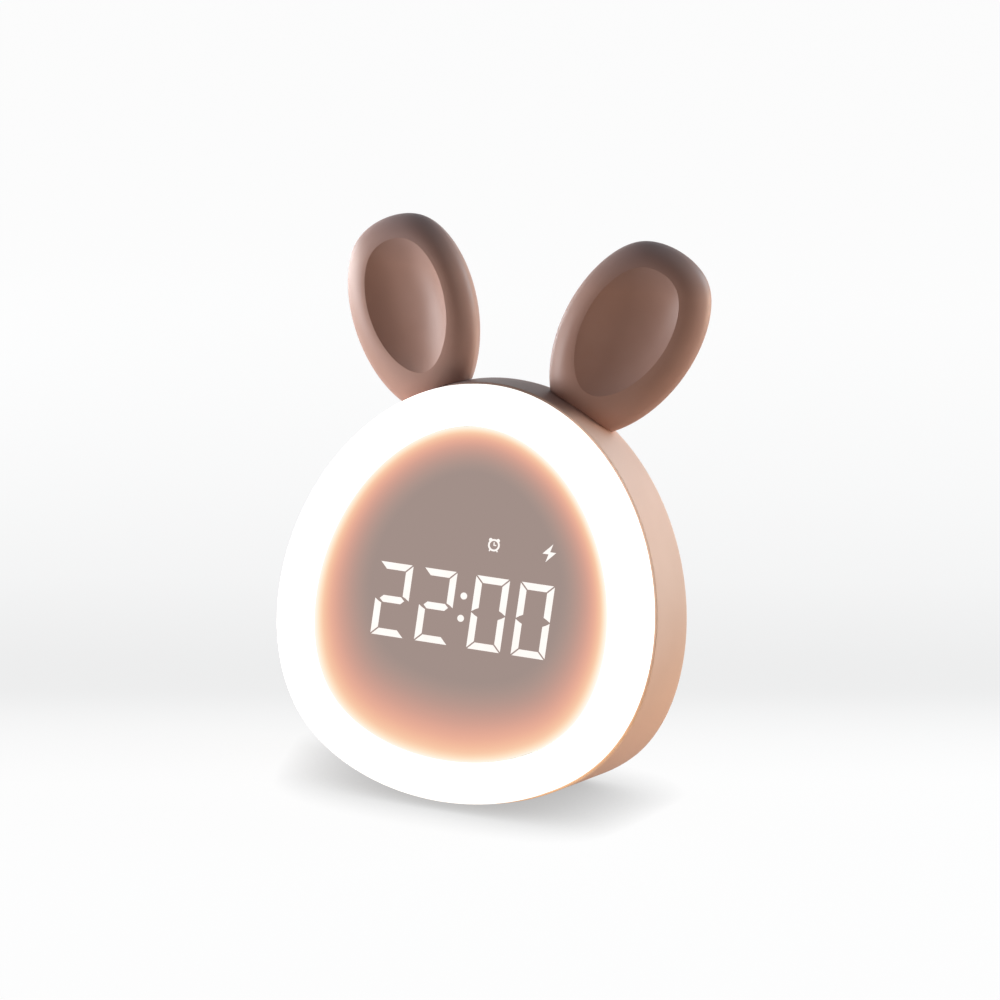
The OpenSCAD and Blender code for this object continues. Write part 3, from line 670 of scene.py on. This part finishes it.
def hollow_solid(name):
    radius = EDGE_RADIUS - WALL
    rings = [face_ring(LIP - WALL, RING_DEPTH - 2)]
    for a in quarter(6):
        inset = radius * (1 - math.cos(a))
        rings.append(back_ring(LIP + FLARE - WALL - inset, BACK_Y - EDGE_RADIUS + radius * math.sin(a)))
    under_floor = block("under_floor", (-BIG, -BIG, -BIG), (BIG, BIG, FLOOR_Z))
    return combine(skin(name, rings), "DIFFERENCE", under_floor)


def block(name, low, high):
    xs, ys, zs = zip(low, high)
    points = [Vector((x, y, z)) * MM for x in xs for y in ys for z in zs]
    faces = [(0, 1, 3, 2), (4, 6, 7, 5), (0, 4, 5, 1), (2, 3, 7, 6), (0, 2, 6, 4), (1, 5, 7, 3)]
    return mesh_piece(name, points, faces)


# %% [markdown]
# Everything on the back runs along the depth: wells, posts, openings, keys. One function makes such a solid
# from a list of (size change, depth) pairs, over a circle or over a longer outline with round ends. A pair
# with a wider size at the end gives an opening its small chamfer, which is what catches the light on a
# moulded edge.


# %% Solids that run along the depth
def slot_ring(x, z, width, height, grow, y, count=64):
    """Outline with round ends in an upright plane. Equal width and height give a circle."""
    radius = height / 2 + grow
    reach = (width - height) / 2
    points = []
    for a in turns(count):
        shift = reach if math.sin(a) >= 0 else -reach
        points.append(Vector((x + shift + radius * math.sin(a), y, z - radius * math.cos(a))) * MM)
    return points


def through(name, x, z, width, height, stations):
    return skin(name, [slot_ring(x, z, width, height, grow, y) for grow, y in stations])


def rod(name, x, z, radius, y0, y1):
    return through(name, x, z, 2 * radius, 2 * radius, [(0, y0), (0, y1)])


def opening(name, x, z, width, height, y0, chamfer=0.3, face_y=BACK_Y):
    stations = [(0, y0), (0, face_y - chamfer), (chamfer, face_y), (chamfer, face_y + CUT)]
    return through(name, x, z, width, height, stations)


# %% [markdown]
# The ears have a frame of their own: their middle plane leans back and splays outwards. A matrix takes a
# point from that frame to the clock's, and a mirrored one serves the other ear.

# %% Frame of an ear
EAR_SPLAY = math.radians(25)
EAR_LEAN = math.radians(14)
EAR_TOE = math.radians(8.5)
EAR_AT = math.radians(152.4)
EAR_SHARE = 0.85
EAR_REACH = 23.5
SEAM = 0.2


def ear_matrix(side):
    fx, fs = egg(EAR_AT, LIP, FRONT_WAVES)
    bx, bz = egg(EAR_AT, LIP + FLARE, BACK_WAVES)
    front = on_face(fx, EGG_MID + fs, RING_DEPTH)
    back = Vector((bx, BACK_Y - EDGE_RADIUS, BACK_Z + bz)) * MM
    rise = math.cos(EAR_SPLAY)
    axis = Vector((math.sin(EAR_SPLAY), rise * math.sin(EAR_LEAN), rise * math.cos(EAR_LEAN)))
    middle = front.lerp(back, EAR_SHARE) + axis * EAR_REACH * MM
    turn = Matrix.Rotation(-EAR_LEAN, 4, "X") @ Matrix.Rotation(EAR_SPLAY, 4, "Y")
    turn = turn @ Matrix.Rotation(EAR_TOE, 4, "Z")
    return Matrix.Scale(-1 if side < 0 else 1, 4, (1, 0, 0)) @ Matrix.Translation(middle) @ turn


def place_ear_part(piece, side):
    piece.data.transform(ear_matrix(side))
    if side < 0:
        piece.data.flip_normals()
    return piece


def ear_rod(name, side, x, radius, z0, z1, count=48):
    outline = [(x + radius * math.sin(a), -radius * math.cos(a)) for a in turns(count)]
    rings = [[Vector((*point, z)) * MM for point in outline] for z in (z1, z0)]
    return place_ear_part(skin(name, rings), side)


# %% [markdown]
# Inside, four wells take the screws that hold the case, four posts carry the main board, a round seat holds
# the loudspeaker, and two bosses under each ear take its pegs. All are plain rods. They are joined into one
# solid and end in the middle of the wall, so that none of them shows outside.

# %% Inside of the shell
WELLS = [(side * x, z) for x, z in ((38, 34), (31, 98)) for side in (-1, 1)]
WELL_END = INNER_Y - 12
WELL_FLOOR = 2.0
WELL_RADIUS, WELL_HOLE_RADIUS = 4.2, 1.6
WELL_BORE = 5.8
BOARD_Y = INNER_Y - 6.5
POSTS = [(x, z) for x in (-28.5, 28.5) for z in (27.5, 88.5)]
POST_RADIUS, POST_HOLE_RADIUS = 2.5, 0.95
SPEAKER_Z = 55.0
SPEAKER_RADIUS = 14.0
SEAT_WALL, SEAT_DEPTH, SEAT_GAP = 1.5, 2.0, 0.1
GRILLE_PITCH, GRILLE_RADIUS, GRILLE_CHAMFER = 3.4, 0.9, 0.15
KEY_Z = 80.0
KEY_XS = [-24.0, -8.0, 8.0, 24.0]
KEY_RADIUS = 4.0
KEY_HOLE = 8.5
FIELD_SIZE, FIELD_DEPTH = (60.8, 12.8), 0.5
USB_Z = 32.0
USB_HOLE = (9.54, 3.8)
PEG_XS = (-6.0, 6.0)
PEG_END = -29.0
PEG_RADIUS, PEG_GAP, PEG_SEAT = 3.2, 0.1, 1.6
BOSS_RADIUS, BOSS_LENGTH = 4.8, 14.0
SCREW_RADIUS, PILOT_RADIUS, PILOT_DEPTH = 1.3, 1.15, 9.0


def shell_insides():
    parts = [rod("well", x, z, WELL_RADIUS, WELL_END, BACK_Y) for x, z in WELLS]
    parts += [rod("post", x, z, POST_RADIUS, BOARD_Y, BACK_Y) for x, z in POSTS]
    for side in (-1, 1):
        parts += [ear_rod("boss", side, x, BOSS_RADIUS, PEG_END, PEG_END + BOSS_LENGTH) for x in PEG_XS]
    seat = rod("seat", 0, SPEAKER_Z, SPEAKER_RADIUS + SEAT_WALL, INNER_Y - SEAT_DEPTH, BACK_Y)
    bore = rod("seat_bore", 0, SPEAKER_Z, SPEAKER_RADIUS + SEAT_GAP, INNER_Y - SEAT_DEPTH - CUT, INNER_Y)
    insides = combine(combine(seat, "DIFFERENCE", bore), "UNION", *parts)
    return combine(insides, "INTERSECT", shell_solid("inner_limit", -WALL / 2))


# %% [markdown]
# The loudspeaker's grille is a pattern of rings: one hole in the middle, then 6, 12 and 18. It repeats one
# shape, so a Geometry Nodes tree places it: circles of points, the cutter as an instance on each, and the
# instances made real.


# %% Geometry Nodes tree of the grille
def grille_tree(ring_count=3):
    inputs = {"Pitch": "Float", "Cutter": "Object"}
    tree, given, identifiers = tree_with_inputs("grille_pattern", inputs)
    points = node(tree, "GeometryNodeJoinGeometry")
    join(tree, node(tree, "GeometryNodePoints").outputs[0], points.inputs[0])
    for ring in range(1, ring_count + 1):
        circle = node(tree, "GeometryNodeMeshCircle")
        circle.inputs["Vertices"].default_value = 6 * ring
        join(tree, calc(tree, "MULTIPLY", given["Pitch"], float(ring)), circle.inputs["Radius"])
        join(tree, circle.outputs["Mesh"], points.inputs[0])
    cutter = node(tree, "GeometryNodeObjectInfo")
    join(tree, given["Cutter"], cutter.inputs["Object"])
    copies = node(tree, "GeometryNodeInstanceOnPoints")
    join(tree, points.outputs[0], copies.inputs["Points"])
    join(tree, cutter.outputs["Geometry"], copies.inputs["Instance"])
    end_tree(tree, given, copies.outputs[0])
    return tree, identifiers


def hole_cutter(radius, depth, chamfer):
    """Upright cutter for one hole, with its top at z = 0 and a chamfer below it."""
    wide = radius + chamfer
    outline = [(math.sin(a), -math.cos(a)) for a in turns(20)]
    rings = []
    for r, z in ((wide, CUT), (wide, 0.0), (radius, -chamfer), (radius, -depth)):
        rings.append([Vector((r * x, r * y, z)) * MM for x, y in outline])
    return skin("hole", rings)


def grille_cutters():
    hole = hole_cutter(GRILLE_RADIUS, WALL + CUT, GRILLE_CHAMFER)
    tree, identifiers = grille_tree()
    values = {"Pitch": GRILLE_PITCH * MM, "Cutter": hole, "Turn": (-math.pi / 2, 0.0, 0.0)}
    values.update({"Shift": Vector((0, BACK_Y, SPEAKER_Z)) * MM, "Material": shell_paint})
    cutters = run_tree("grille_holes", tree, identifiers, values)
    bpy.data.objects.remove(hole)
    return cutters


# %% [markdown]
# The openings come last. Where a cutter opens a face it reaches a little past it, because a face that both
# solids share can leave slivers. The key field is a shallow sink round the four key holes.

# %% Cut and finish the shell
def shell_openings():
    deep, field_y = INNER_Y - CUT, BACK_Y - FIELD_DEPTH
    floor_end = WELL_END + WELL_FLOOR
    cutters = [opening("well_bore", x, z, WELL_BORE, WELL_BORE, floor_end) for x, z in WELLS]
    cutters += [rod("well_hole", x, z, WELL_HOLE_RADIUS, WELL_END - CUT, floor_end + CUT) for x, z in WELLS]
    cutters += [rod("post_hole", x, z, POST_HOLE_RADIUS, BOARD_Y - CUT, INNER_Y) for x, z in POSTS]
    cutters += [opening("key_hole", x, KEY_Z, KEY_HOLE, KEY_HOLE, deep, 0.2, field_y) for x in KEY_XS]
    cutters.append(opening("key_field", 0, KEY_Z, *FIELD_SIZE, field_y, 0.25))
    cutters.append(opening("socket_hole", 0, USB_Z, *USB_HOLE, deep))
    cutters.append(grille_cutters())
    peg_hole, seat_z = PEG_RADIUS + PEG_GAP, PEG_END + PEG_SEAT
    low, high = PEG_END - CUT, seat_z + CUT
    for side in (-1, 1):
        cutters += [ear_rod("peg_hole", side, x, peg_hole, seat_z, 0) for x in PEG_XS]
        cutters += [ear_rod("screw_hole", side, x, SCREW_RADIUS, low, high) for x in PEG_XS]
    return cutters


shell = shell_solid("egg_shell", 0)
under_foot = block("under_foot", (-BIG, -BIG, -BIG), (BIG, BIG, PAD))
combine(shell, "DIFFERENCE", under_foot, hollow_solid("hollow"))
combine(shell, "UNION", shell_insides())
combine(shell, "DIFFERENCE", *shell_openings())
shell.data.materials.clear()
shell.data.materials.append(shell_paint)
soften(shell)
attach(shell, "clock")
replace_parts(shell, "rear_shell")
report(shell)

# %% [markdown]
# ## The ears
# An ear is a pebble with a dish in front. Its rings run from the dish's floor over the rim to the back, and
# a smooth curve through a few (share, depth) pairs gives as many rings as the surface needs. At its foot
# the shell's form, grown by the width of a seam, is cut away, so the ear sits on the shell like a saddle.

# %% Shape of the ears
EAR_SIZE = (41.7, 62.8)
DISH_SIZE = (26.2, 42.6)
EAR_TAPER, DISH_TAPER = 0.78, 0.42
EAR_FULL, DISH_FULL = 0.53, 0.29
EAR_RISE = 1.6
DISH_SHIFT = 0.9
DISH_RISE = 1.6
RIM_RISE = 6.4
DISH_DEPTH = 4.2
CREASE = 1.0
BOWL_POWER = 2.6
EAR_BACK = 8.8
PEG_TOP = -12.0
RIM = (
    (1, CREASE),
    (0.85, 0.98),
    (0.65, 0.91),
    (0.45, 0.78),
    (0.27, 0.6),
    (0.12, 0.39),
    (0.03, 0.18),
    (0, 0),
)
BACK = ((0.05, 0.28), (0.18, 0.54), (0.42, 0.77), (0.8, 0.92), (1.3, 1), (1.7, 1.01))


def bowl_path():
    """From the middle of the dish, where its radius is 0, to the crease at 1."""
    radii = [0.06, *[0.1 * i for i in range(1, 8)], 0.75, 0.8, 0.85, 0.9, 0.94, 0.97, 0.99]
    return [(2 - r, DISH_DEPTH * (1 - r**BOWL_POWER) - CREASE * RIM_RISE) for r in radii]


def between(p, q, r, s, t):
    """Value at share t between q and r, on a Catmull-Rom curve through all four."""
    bend, twist = 2 * p - 5 * q + 4 * r - s, 3 * q - p - 3 * r + s
    return 0.5 * (2 * q + (r - p) * t + bend * t * t + twist * t**3)


def smooth_path(points, steps):
    """Smooth curve through the points."""
    padded = [points[0], *points, points[-1]]
    path = []
    for corners in zip(padded, padded[1:], padded[2:], padded[3:]):
        for step in range(steps):
            path.append(tuple(between(*values, step / steps) for values in zip(*corners)))
    return [*path, points[-1]]


def ear_ring(share, y, count=120):
    """Share 0 is the ear's outline, 1 the dish's edge and 2 the dish's middle."""
    k, shrink = min(share, 1.0), 2 - share if share > 1 else 1.0
    pairs = zip((*EAR_SIZE, EAR_TAPER, EAR_FULL), (*DISH_SIZE, DISH_TAPER, DISH_FULL))
    width, height, taper, full = [(outer + (inner - outer) * k) * shrink for outer, inner in pairs]
    points = []
    for a in turns(count):
        r = (width + height) / 4 + (height - width) / 4 * math.cos(2 * a) + taper * math.cos(3 * a)
        r += full * (1 - math.cos(4 * a))
        d = -(height - width) / 2 * math.sin(2 * a) - 3 * taper * math.sin(3 * a)
        d += 4 * full * math.sin(4 * a)
        x = r * math.sin(a) + d * math.cos(a) - DISH_SHIFT * k
        z = d * math.sin(a) - r * math.cos(a) + EAR_RISE + DISH_RISE * k
        points.append(Vector((x, y, z)) * MM)
    return points


def ear(name, side):
    outside = [(share, -RIM_RISE * y) for share, y in RIM] + [(share, EAR_BACK * y) for share, y in BACK]
    rings = [ear_ring(share, y) for share, y in [*bowl_path(), *smooth_path(outside, 4)]]
    piece = place_ear_part(skin(name, rings), side)
    pegs = [ear_rod("peg", side, x, PEG_RADIUS, PEG_END + PEG_SEAT, PEG_TOP) for x in PEG_XS]
    pilots = [ear_rod("pilot", side, x, PILOT_RADIUS, PEG_END, PEG_END + PILOT_DEPTH) for x in PEG_XS]
    combine(piece, "DIFFERENCE", shell_solid("saddle", SEAM))
    combine(piece, "UNION", *pegs)
    combine(piece, "DIFFERENCE", *pilots)
    piece.data.materials.clear()
    piece.data.materials.append(ear_paint)
    soften(piece, 24)
    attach(piece, "clock")
    report(piece)
    return piece


for label, side in (("left", -1), ("right", 1)):
    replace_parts(ear("ear_on_the_" + label, side), "ear_" + label)

# %% [markdown]
# ## Keys
# Each key is a round cap with a shallow dish for the fingertip, a rounded edge, and a flange behind the
# wall that keeps it in. It rides on its own body, so it goes in when its joint moves.


# %% Key caps
KEY_RISE = 1.4
KEY_FLANGE = 1.2
KEY_EDGE = 0.5
DISH_FLOOR, DISH_EDGE = 0.4, 0.12  # how far below the cap's top
DISH_CURVE = 44.0


def key_cap(name, x):
    top = BACK_Y + KEY_RISE
    flange = KEY_RADIUS + KEY_FLANGE
    stations = [(flange, INNER_Y - KEY_FLANGE), (flange, INNER_Y), (KEY_RADIUS, INNER_Y)]
    for a in quarter(5):
        inset, drop = KEY_EDGE * (1 - math.cos(a)), KEY_EDGE * (1 - math.sin(a))
        stations.append((KEY_RADIUS - inset, top - DISH_EDGE - drop))
    stations += [(r, top - DISH_FLOOR + r * r / DISH_CURVE) for r in (3.1, 2.6, 2.0, 1.4, 0.8, 0.3)]
    rings = [slot_ring(x, KEY_Z, 0, 0, r, y, 56) for r, y in stations]
    return skin(name, rings)


key_paint = plastic("key_paint", paint(176, 136, 121), paint(170, 129, 114), 0.42)
for name, x in zip(("set", "down", "up", "light"), KEY_XS):
    cap = key_cap("cap_" + name, x)
    cap.data.materials.append(key_paint)
    soften(cap)
    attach(cap, "key_" + name)
    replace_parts(cap, "key_" + name)
    report(cap)

# %% [markdown]
# ## Light of the figures
# The lit segments, the colon and the icons keep their CAD shapes, whose edges are exact. They are white
# windows with light behind them, a little warmer than the ring.


# %% Figure light
def figure_light():
    material, tree, shader = new_material("figure_light")
    tone = ramp(tree, noise(tree, 220.0), [(0.3, paint(250, 244, 239)), (0.7, paint(254, 250, 247))])
    join(tree, tone, shader.inputs["Emission Color"])
    shader.inputs["Emission Strength"].default_value = 0.96
    shader.inputs["Base Color"].default_value = paint(120, 116, 113)
    shader.inputs["Roughness"].default_value = 0.4
    return material


def dress(material, *names):
    for name in names:
        nodes[name].data.materials.clear()
        nodes[name].data.materials.append(material)


dress(figure_light(), "lit_segments", "status_icons")

# %% [markdown]
# ## The small parts
# The parts behind the face and on the back are ordinary ones: white and black mouldings, green boards,
# steel screws, a wrapped cell. Each finish gets its own small material. They share one recipe, a noise that
# moves the colour between two shades and a little bump, with metal for the steel.


# %% Finishes of the small parts
def finish(name, light, dark, roughness, scale, metallic=0.0, depth=0.00001):
    material, tree, shader = new_material(name)
    tone = ramp(tree, noise(tree, scale), [(0.35, dark), (0.65, light)])
    join(tree, tone, shader.inputs["Base Color"])
    shader.inputs["Roughness"].default_value = roughness
    shader.inputs["Metallic"].default_value = metallic
    add_bump(tree, shader, noise(tree, scale * 12), depth, 0.4)
    return material


dress(finish("rubber_pad", paint(92, 84, 82), paint(80, 73, 71), 0.8, 300), "base_pad")
dress(
    finish("white_moulding", paint(238, 236, 231), paint(231, 229, 224), 0.45, 60),
    "light_tray",
    "display_box",
    "battery_cradle",
    "lead_sockets",
)
dress(
    finish("board_green", paint(38, 92, 60), paint(28, 76, 48), 0.4, 500),
    "ring_board",
    "display_board",
    "main_board",
)
dress(
    finish("led_face", paint(248, 232, 160), paint(240, 220, 140), 0.35, 400),
    "ring_leds",
    "segment_leds",
)
dress(finish("ribbon", paint(214, 214, 212), paint(198, 198, 198), 0.5, 900), "display_ribbon")
dress(
    finish("black_moulding", paint(44, 43, 43), paint(34, 33, 33), 0.45, 120),
    "tact_switches",
    "plunger_set",
    "plunger_down",
    "plunger_up",
    "plunger_light",
    "usb_tongue",
    "speaker_basket",
    "speaker_cone",
    "battery_strap",
)
dress(
    finish("steel", paint(205, 205, 207), paint(188, 188, 191), 0.3, 250, 1.0),
    "ear_washers",
    "ear_screws",
    "board_screws",
    "case_screws",
    "usb_socket",
    "speaker_magnet",
)
dress(finish("cell_wrap", paint(62, 104, 186), paint(52, 92, 172), 0.35, 80), "battery_cell")
dress(
    finish("lead_cover", paint(178, 44, 38), paint(160, 36, 32), 0.45, 200),
    "speaker_leads",
    "battery_leads",
)

# %% [markdown]
# ## Floor
# The stage is a white floor that sweeps away without a horizon. To the camera it shines by itself, so it
# stays white however the lamps stand, with a soft grey band of painted shade behind the clock where a
# studio's floor would turn up into its wall. Ambient occlusion keeps a narrow shadow where the clock stands,
# and a little plain white takes the lamps' shadows. All other rays see a dim floor that throws little light
# up at the clock; a faint painted glow in it, the ring's warm light on the table, makes that light warm.

# %% Floor
SWEEP_TURN = math.radians(30.7)
SWEEP_LENGTH = 0.8
# Painted shade of the floor along the sweep: the grey band behind the clock.
SWEEP_TONES = [  # share of the sweep's length, grey from 0 to 255
    (0.0, 254),
    (0.05, 250),
    (0.09, 244),
    (0.125, 235),
    (0.2, 238),
    (0.3, 244),
    (0.5, 249),
    (0.75, 252),
    (1, 254),
]
SHADOW_REACH = 0.02


def sweep_tone(tree):
    """Colour of the floor by its distance along the sweep, with a band of painted shade behind the clock."""
    place = node(tree, "ShaderNodeTexCoord")
    turn = node(tree, "ShaderNodeVectorRotate", rotation_type="Z_AXIS")
    turn.inputs["Angle"].default_value = -SWEEP_TURN
    join(tree, place.outputs["Object"], turn.inputs["Vector"])
    along = node(tree, "ShaderNodeSeparateXYZ")
    join(tree, turn.outputs["Vector"], along.inputs["Vector"])
    share = calc(tree, "DIVIDE", along.outputs["Y"], SWEEP_LENGTH)
    return ramp(tree, share, [(at, paint(tone, tone, tone)) for at, tone in SWEEP_TONES])


def split_rays(tree, others, seen, output):
    """Shows seen to the camera, also by way of shiny or clear parts, and others to all other rays."""
    path = node(tree, "ShaderNodeLightPath")
    share = calc(tree, "MAXIMUM", path.outputs["Is Camera Ray"], path.outputs["Is Glossy Ray"])
    share = calc(tree, "MAXIMUM", share, path.outputs["Is Transmission Ray"])
    mix = node(tree, "ShaderNodeMixShader")
    join(tree, share, mix.inputs["Fac"])
    join(tree, others.outputs[0], mix.inputs[1])
    join(tree, seen.outputs[0], mix.inputs[2])
    join(tree, mix.outputs[0], tree.nodes[output].inputs["Surface"])


def floor_material():
    material, tree, shader = new_material("pale_floor")
    shader.inputs["Base Color"].default_value = paint(150, 140, 134)
    shader.inputs["Roughness"].default_value = 0.9
    # Painted glow: the ring's warm light on the table, seen by all rays but the camera's.
    shader.inputs["Emission Color"].default_value = paint(218, 178, 128)
    shader.inputs["Emission Strength"].default_value = 0.25
    shade = node(tree, "ShaderNodeAmbientOcclusion", samples=8)
    shade.inputs["Distance"].default_value = SHADOW_REACH
    white = node(tree, "ShaderNodeEmission")
    join(tree, calc(tree, "MULTIPLY_ADD", shade.outputs["AO"], 0.5, 0.48), white.inputs["Strength"])
    join(tree, sweep_tone(tree), white.inputs["Color"])
    lit = node(tree, "ShaderNodeBsdfDiffuse")
    lit.inputs["Color"].default_value = (0.04, 0.04, 0.04, 1)
    both = node(tree, "ShaderNodeAddShader")
    join(tree, white.outputs[0], both.inputs[0])
    join(tree, lit.outputs[0], both.inputs[1])
    split_rays(tree, shader, both, "Material Output")
    return material


REACH = 12.0
corners = [(-REACH, -REACH, 0), (REACH, -REACH, 0), (REACH, REACH, 0), (-REACH, REACH, 0)]
floor = mesh_piece("floor", corners, [(0, 1, 2, 3)])
floor.data.materials.append(floor_material())
floor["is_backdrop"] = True

# %% [markdown]
# ## Light
# The room is dim and its ceiling darker still, which darkens the ears' tops together with the shade painted
# into their coat. Three cool soft boxes at the left stand before, beside and behind the clock and light the
# dishes from the side. At the right a warm low box and a cool high one stand behind it and draw the bright
# rims, and a small warm one in front lifts the shadows. The glossy and transmitted rays see a white room,
# as the camera does, so that shiny parts show it.


# %% Room and lamps
ROOM_TONES = [(0.0, (0.16, 0.15, 0.14, 1)), (0.35, (0.09, 0.09, 0.1, 1)), (0.8, (0.04, 0.05, 0.07, 1))]
LAMP_AIM = Vector((0, 0, 0.09))
LAMPS = {  # place, size, power in watts, colour
    "left_front_box": ((-0.75, -0.27, 0.11), (0.22, 0.3), 3.6, (0.93, 0.96, 1.0)),
    "left_side_box": ((-0.8, 0.02, 0.11), (0.3, 0.3), 3.9, (0.95, 0.98, 1.0)),
    "left_back_box": ((-0.69, 0.4, 0.11), (0.3, 0.3), 2.0, (0.86, 0.95, 1.0)),
    "right_low_box": ((0.69, 0.4, 0.11), (0.3, 0.3), 3.8, (1.0, 0.74, 0.55)),
    "right_high_box": ((0.59, 0.42, 0.49), (0.3, 0.3), 3.4, (0.6, 0.87, 1.0)),
    "right_front_box": ((0.56, -0.56, 0.06), (0.2, 0.2), 0.45, (1.0, 0.6, 0.4)),
}


def room_light():
    world = bpy.data.worlds.new("room")
    bpy.context.scene.world = world
    world.use_nodes = True
    tree = world.node_tree
    way = node(tree, "ShaderNodeSeparateXYZ")
    join(tree, node(tree, "ShaderNodeTexCoord").outputs["Generated"], way.inputs["Vector"])
    tone = ramp(tree, way.outputs["Z"], ROOM_TONES)
    dim = node(tree, "ShaderNodeBackground")
    join(tree, tone, dim.inputs["Color"])
    white = node(tree, "ShaderNodeBackground")
    white.inputs["Color"].default_value = (1, 1, 1, 1)
    split_rays(tree, dim, white, "World Output")


def soft_box(name, place, size, power, colour):
    lamp = bpy.data.lights.new(name, "AREA")
    lamp.shape = "RECTANGLE"
    lamp.size, lamp.size_y = size
    lamp.energy = power
    lamp.color = colour
    made = bpy.data.objects.new(name, lamp)
    made.location = place
    made.rotation_euler = (LAMP_AIM - Vector(place)).to_track_quat("-Z", "Y").to_euler()
    bpy.context.scene.collection.objects.link(made)


room_light()
for name, settings in LAMPS.items():
    soft_box(name, *settings)
print("Lamps:", list(LAMPS))

# %% [markdown]
# ## Camera
# The camera stands to the right of the clock and above it, with a long lens, so the body shows its front
# and its right side with little perspective. It is tilted a little about its own axis, as if held by hand.


# %% Camera
CAMERA_AZIMUTH = math.radians(18.0)
CAMERA_HEIGHT = math.radians(13.6)
CAMERA_ROLL = math.radians(3.7)
CAMERA_DISTANCE = 1.1
CAMERA_TARGET = Vector((14.1, -30.3, 98.5)) * MM
CAMERA_LENS = 134.7


def camera():
    lens = bpy.data.cameras.new("camera")
    lens.lens = CAMERA_LENS
    lens.sensor_width = 36.0
    made = bpy.data.objects.new("camera", lens)
    turn = Matrix.Rotation(CAMERA_AZIMUTH, 4, "Z") @ Matrix.Rotation(math.pi / 2 - CAMERA_HEIGHT, 4, "X")
    step_back = Matrix.Translation((0, 0, CAMERA_DISTANCE)) @ Matrix.Rotation(CAMERA_ROLL, 4, "Z")
    made.matrix_world = Matrix.Translation(CAMERA_TARGET) @ turn @ step_back
    bpy.context.scene.collection.objects.link(made)
    bpy.context.scene.camera = made
    print("Camera at", [round(v, 3) for v in made.matrix_world.translation])


camera()
bpy.context.scene.view_settings.view_transform = "Standard"

# %% [markdown]
# ## Sizes
# The finer meshes have to keep the size of the CAD model; the bounds of both are printed here.

# %% Sizes of the CAD model and of the finer meshes
seen_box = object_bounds()
for label, (low, high) in (("CAD", cad_box), ("Visual", seen_box)):
    print(label, [round(v / MM, 2) for v in low], [round(v / MM, 2) for v in high])
